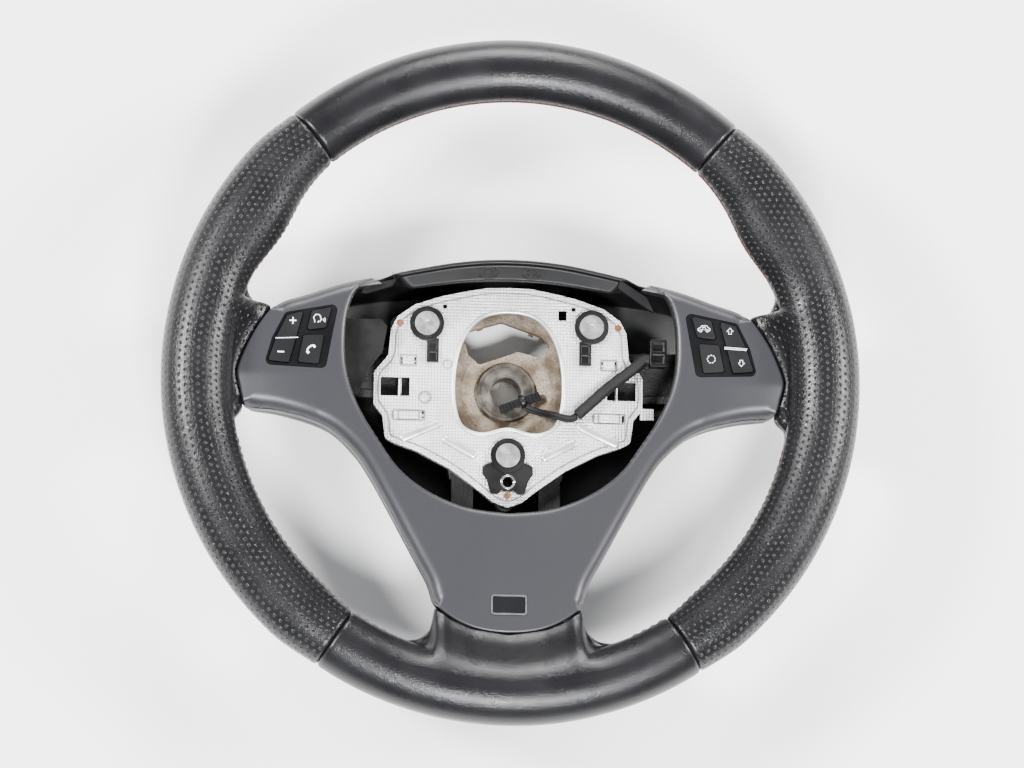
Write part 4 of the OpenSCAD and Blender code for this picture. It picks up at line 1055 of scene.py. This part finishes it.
hide = {
    "tones": ((0.0042, 0.0041, 0.0050), (0.0072, 0.0070, 0.0084)), "rough": (0.24, 0.33), "specular": 0.32,
    "pebbles": 820.0, "pebbleBump": (0.28, 0.00014), "grain": 5200.0, "grainBump": (0.10, 0.00008),
    "pitch": 0.0040, "row": 0.0034, "radius": 0.00052,    # of the perforation
    # hole tone: the dark foam seen through each hole, and painted shade inside it
    "holeShadeTone": (0.0015, 0.0015, 0.0015), "holeRough": 0.45, "holeBump": (0.85, 0.00042),
}


def leatherFinish(name, perforated):
    f, h = Finish(name), hide
    cells = f.add("ShaderNodeTexVoronoi", {"feature": "DISTANCE_TO_EDGE"}, Vector=f.where,
                  Scale=h["pebbles"])
    cloud = f.noise(34.0, 3)
    tone = f.blend(f.remap(cloud, 0.3, 0.7), *h["tones"])
    rough = f.remap(cloud, 0.3, 0.7, *h["rough"])
    normal = f.bump(f.remap(cells.outputs["Distance"], 0.0, 0.16), *h["pebbleBump"])
    normal = f.bump(f.noise(h["grain"], 2), *h["grainBump"], normal)
    if perforated:
        pitch, row, radius = (h[key] for key in ("pitch", "row", "radius"))
        flat = f.add("ShaderNodeUVMap", {"uv_map": "flat"}).outputs[0]
        parts = f.add("ShaderNodeSeparateXYZ", Vector=flat).outputs
        v = f.calc("DIVIDE", parts["Y"], row)
        odd = f.calc("MULTIPLY", f.calc("FLOORED_MODULO", f.calc("FLOOR", v), 2.0), 0.5)
        u = f.calc("ADD", f.calc("DIVIDE", parts["X"], pitch), odd)
        away = f.span(*(f.calc("MULTIPLY", f.calc("SUBTRACT", f.calc("FRACT", t), 0.5), size)
                        for t, size in ((u, pitch), (v, row))))
        hole = f.remap(away, radius * 0.72, radius, 1, 0)
        # each hole is coloured darker: the dark foam under it, and painted shade inside it
        tone = f.blend(hole, tone, h["holeShadeTone"])
        rough = f.calc("ADD", rough, f.calc("MULTIPLY", hole, h["holeRough"]))
        normal = f.bump(f.remap(away, radius * 0.7, radius * 1.9), *h["holeBump"], normal)
    return f.done(tone, rough, normal, specular=h["specular"])


plating = {
    "tones": ((0.50, 0.50, 0.51), (0.64, 0.64, 0.64)), "dull": (0.40, 0.40, 0.40),
    "groove": (0.07, 0.07, 0.075), "pitch": 0.0017, "bump": (0.8, 0.0003),    # of the pressed grid; the groove colour is painted shade in its hollows
    "rough": (0.30, 0.46), "metal": 0.6,
}


def plateFinish():
    f, p = Finish("galvanised plate"), plating
    spangle = f.add("ShaderNodeTexVoronoi", Vector=f.where, Scale=240.0).outputs["Distance"]
    cloud = f.noise(48.0, 4)
    parts = f.add("ShaderNodeSeparateXYZ", Vector=f.where).outputs
    pace = math.pi / p["pitch"]
    waves = [f.calc("ABSOLUTE", f.calc("SINE", f.calc("MULTIPLY", parts[axis], pace))) for axis in "XY"]
    grid = f.calc("POWER", f.calc("MULTIPLY", *waves), 0.6)
    tone = f.blend(f.remap(spangle, 0.0, 0.9), *p["tones"])
    tone = f.blend(f.remap(cloud, 0.4, 0.7, 0, 0.5), tone, p["dull"])
    # painted shade: the grid's grooves are coloured dark
    tone = f.blend(f.remap(grid, 0.0, 0.5, 1.0, 0), tone, p["groove"])
    return f.done(tone, f.remap(cloud, 0.3, 0.7, *p["rough"]), f.bump(grid, *p["bump"]), metal=p["metal"])


trimPaint = {
    "tones": ((0.025, 0.025, 0.029), (0.030, 0.030, 0.034)), "flake": (0.075, 0.075, 0.082),
    "rough": (0.34, 0.44), "metal": 0.35, "bump": (0.05, 0.00005),
}


def trimFinish():
    f, p = Finish("satin trim paint"), trimPaint
    flake, cloud = f.noise(5200.0, 2), f.noise(9.0, 2)
    tone = f.blend(f.remap(cloud, 0.3, 0.7), *p["tones"])
    tone = f.blend(f.remap(flake, 0.55, 0.8, 0, 0.5), tone, p["flake"])
    return f.done(tone, f.remap(flake, 0.3, 0.7, *p["rough"]), f.bump(flake, *p["bump"]), metal=p["metal"])


# Bare metal at the hub. Past it the arms take painted shade, near black and not metal, for the shade they
# lie in under the trim
casting = {
    "tones": ((0.10, 0.070, 0.042), (0.27, 0.225, 0.175)), "pits": (0.10, 0.075, 0.05),
    "armShade": (0.002, 0.002, 0.002), "shadeRamp": (0.046, 0.050),
    "rough": (0.45, 0.65), "metal": 0.5, "bump": (0.7, 0.0005),
}


def castFinish():
    f, p = Finish("sand cast alloy with painted shade"), casting
    parts = f.add("ShaderNodeSeparateXYZ", Vector=f.where).outputs
    cloud, fine = f.noise(110.0, 5), f.noise(900.0, 4)
    tone = f.blend(f.remap(cloud, 0.38, 0.62), *p["tones"])
    tone = f.blend(f.remap(fine, 0.45, 0.7, 0, 0.8), tone, p["pits"])
    # painted shade: past this radius the colour goes near black and the metal falls away
    outside = f.remap(f.span(parts["X"], parts["Y"]), *p["shadeRamp"])
    return f.done(f.blend(outside, tone, p["armShade"]), f.remap(cloud, 0.3, 0.7, *p["rough"]),
                  f.bump(fine, *p["bump"]), metal=f.remap(outside, 0, 1, p["metal"], 0.0))


finishes = {
    "leather": leatherFinish("satin black leather", False),
    "perforated": leatherFinish("perforated black leather", True),
    "thread": plainFinish("red brown thread", (0.085, 0.026, 0.017), (0.12, 0.04, 0.027), 0.62, grain=3600,
                          bump=0.5, depth=0.0002),
    "trim": trimFinish(),
    "plate": plateFinish(),
    "cast": castFinish(),
    "sleeve": plainFinish("turned steel", (0.13, 0.115, 0.095), (0.26, 0.24, 0.21), 0.38, metal=0.9,
                          mottle=150, grain=900),
    "bolt": plainFinish("bright bolt steel", (0.74, 0.74, 0.73), (0.84, 0.84, 0.83), 0.30, metal=0.96,
                        mottle=200, grain=1400, bump=0.08),
    "spring": plainFinish("spring steel", (0.40, 0.40, 0.41), (0.52, 0.52, 0.53), 0.3, metal=0.95,
                          mottle=300),
    "nylon": plainFinish("black nylon", (0.0022, 0.0022, 0.0025), (0.0042, 0.0042, 0.0046), 0.38, mottle=70,
                         grain=2200, bump=0.16, specular=0.3),
    "cover": plainFinish("grained black cover", (0.0028, 0.0028, 0.0032), (0.0050, 0.0050, 0.0055), 0.44,
                         mottle=40, grain=1900, bump=0.35, depth=0.0002, specular=0.25),
    "frame": plainFinish("switch frame paint", (0.0030, 0.0030, 0.0034), (0.0045, 0.0045, 0.0050), 0.42,
                         mottle=30, grain=4200, bump=0.06, specular=0.1),
    "key": plainFinish("soft key paint", (0.0060, 0.0061, 0.0068), (0.0088, 0.0089, 0.0096), 0.38, mottle=30,
                       grain=4200, bump=0.08, specular=0.25),
    "sign": plainFinish("white print", (0.80, 0.81, 0.81), (0.88, 0.89, 0.89), 0.5, mottle=400, grain=5000,
                        bump=0.02),
    "rubber": plainFinish("grey rubber mat", (0.13, 0.14, 0.15), (0.17, 0.18, 0.19), 0.72, grain=1800,
                          bump=0.3),
    "board": plainFinish("green board", (0.010, 0.085, 0.035), (0.014, 0.11, 0.05), 0.35, mottle=500,
                         grain=2400),
    "eyelet": plainFinish("polished eyelet", (0.66, 0.65, 0.63), (0.76, 0.75, 0.73), 0.2, metal=0.98,
                          mottle=200, bump=0.05),
    "copper": plainFinish("copper rivet", (0.50, 0.21, 0.10), (0.62, 0.29, 0.15), 0.3, metal=0.95,
                          mottle=260, bump=0.1),
    "tape": plainFinish("cloth tape", (0.003, 0.003, 0.0035), (0.006, 0.006, 0.0065), 0.62, mottle=120,
                        grain=2800, bump=0.5, depth=0.0002, specular=0.25),
    "gloss": plainFinish("gloss black badge", (0.002, 0.002, 0.003), (0.004, 0.004, 0.005), 0.16, mottle=30,
                         bump=0.01, coat=0.6, roughSpread=0.02),
    # painted shade: a darker copy of the plate metal for the pressed steps
    "shade": plainFinish("painted shade at plate steps", (0.20, 0.20, 0.20), (0.30, 0.30, 0.30), 0.45, metal=0.6,
                         mottle=90),
    # painted highlight: a brighter copy of the plate metal for the rolled edge and beads
    "bright": plainFinish("rolled plate edges with painted highlight", (0.62, 0.62, 0.62), (0.74, 0.74, 0.73), 0.34, metal=0.7,
                          mottle=90),
    "chrome": plainFinish("bright border", (0.70, 0.70, 0.71), (0.78, 0.78, 0.79), 0.18, metal=1.0,
                          mottle=120, bump=0.02),
    "foam": plainFinish("dark foam", (0.003, 0.003, 0.0035), (0.006, 0.006, 0.0065), 0.6, grain=900,
                        bump=0.5, depth=0.0004, specular=0.25),
}


def paint(piece, finish):
    piece.data.materials.clear()
    piece.data.materials.append(finishes[finish])


def softenEdges(piece, width):
    weld = piece.modifiers.new("weld", "WELD")
    weld.merge_threshold = 0.00001
    if width:
        bevel = piece.modifiers.new("edges", "BEVEL")
        bevel.width = width * mm
        bevel.segments = 2
        bevel.limit_method = "ANGLE"
        bevel.angle_limit = math.radians(35)
        bevel.harden_normals = True


carried = {    # finish and edge width in millimetres of the CAD's own nodes
    ("cast", 0.6): ("armature",),
    ("sleeve", 0): ("spline_sleeve",),
    ("gloss", 0.15): ("badge_plate",),
    ("bolt", 0.2): ("rear_cover_screws",),
    ("bolt", 0.22): ("guide_bolts",),
    ("plate", 0.22): ("horn_plate",),
    ("spring", 0): ("horn_springs", "left_wire_clip", "right_wire_clip"),
    ("nylon", 0.2): ("left_switch_housing", "right_switch_housing", "cable_tie"),
    ("nylon", 0.25): ("left_bush", "right_bush", "lead_connector"),
    ("nylon", 0.3): ("bottom_carrier", "well_flap", "switch_plug"),
    ("eyelet", 0.3): ("pin_eyelet",),
    ("copper", 0.25): ("contact_rivets",),
    ("frame", 0.25): ("left_switch_frame", "right_switch_frame"),
    ("key", 0.7): ("left_rocker", "voice_button", "phone_button",
                   "right_rocker", "recirculation_button", "custom_button"),
    ("rubber", 0.2): ("left_rubber_mat", "right_rubber_mat"),
    ("board", 0): ("left_switch_board", "right_switch_board"),
}

dressed = {    # the pieces made above, and the CAD's nodes that they stand for
    "perforated": ("leather_side_right", "leather_side_left"),
    "leather": ("leather_crown", "leather_base", "leather_left", "leather_right", "leather_top",
                "leather_bottom"),
    "foam": ("foam_core", "rim_foam"),
    "thread": ("seam_thread",),
    "trim": ("spoke_cover", "spoke_trim"),
    "cover": ("rear_shell", "ledge_forms", "rear_cover"),
    "tape": ("taped_loom", "loose_wire_1", "loose_wire_2", "loose_wire_3", "lead_loom", "lead_wires"),
    "chrome": ("badge_border",),
    # shade is painted shade on the plate's outlines, bright is painted highlight on its rolled edge and
    # beads
    "shade": ("plate_shade_lines",),
    "bright": ("plate_pressings",),
    "sign": ("volume_signs", "voice_sign", "phone_sign", "recirculation_sign", "dashed_circle_sign",
             "arrow_signs"),
}

for (finish, width), names in carried.items():
    for name in names:
        paint(cad[name], finish)
        softenEdges(cad[name], width)
for finish, names in dressed.items():
    for name in names:
        paint(cad[name] if name in cad else bpy.data.objects[name], finish)
print("finishes done")


# Floor, soft sky and the lamps

studio = {
    "floorSize": 6.0,
    "floorColour": (0.94, 0.94, 0.94), "floorRough": 0.85,
    "sky": (0.95, 0.97, 1.0), "skyStrength": 0.55,
    "lamps": [    # place, aimed at, size, watts, colour
        ((-1.45, 0.35, 1.45), (0, 0, 0.05), 0.45, 90, (1.0, 0.99, 0.97)),
        ((1.6, 0.2, 1.2), (0, 0, 0.05), 0.5, 66, (1.0, 0.98, 0.96)),
        ((0.1, -1.15, 1.7), (0, -0.05, 0.05), 0.5, 95, (0.98, 0.99, 1.0)),
        ((0.1, 1.7, 1.0), (0, 0, 0.05), 0.6, 50, (1.0, 1.0, 1.0)),
    ],
}


def buildStudio():
    s = studio
    low = float(cadBox[0][2]) / mm - 0.2
    half = s["floorSize"] / 2 / mm
    corners = [(x, y, low) for x, y in cornersOf(half, half)]
    floor = makeObject("floor", corners, [[0, 1, 2, 3]], smooth=False)
    f = Finish("pale floor")
    second = tuple(0.97 * c for c in s["floorColour"])
    tone = f.blend(f.remap(f.noise(2.0, 2), 0.3, 0.7), s["floorColour"], second)
    floor.data.materials.append(f.done(tone, s["floorRough"]))
    world = bpy.data.worlds.new("soft sky")
    world.use_nodes = True
    sky = world.node_tree.nodes["Background"]
    sky.inputs["Color"].default_value = (*s["sky"], 1.0)
    sky.inputs["Strength"].default_value = s["skyStrength"]
    bpy.context.scene.world = world
    for k, (place, target, size, watts, colour) in enumerate(s["lamps"]):
        lamp = bpy.data.lights.new(f"lamp_{k + 1}", "AREA")
        lamp.shape = "DISK"
        lamp.size, lamp.energy, lamp.color = size, watts, colour
        lampObject = bpy.data.objects.new(lamp.name, lamp)
        lampObject.location = place
        lampObject.rotation_euler = (Vector(target) - Vector(place)).to_track_quat("-Z", "Y").to_euler()
        bpy.context.scene.collection.objects.link(lampObject)


buildStudio()
print("studio done")
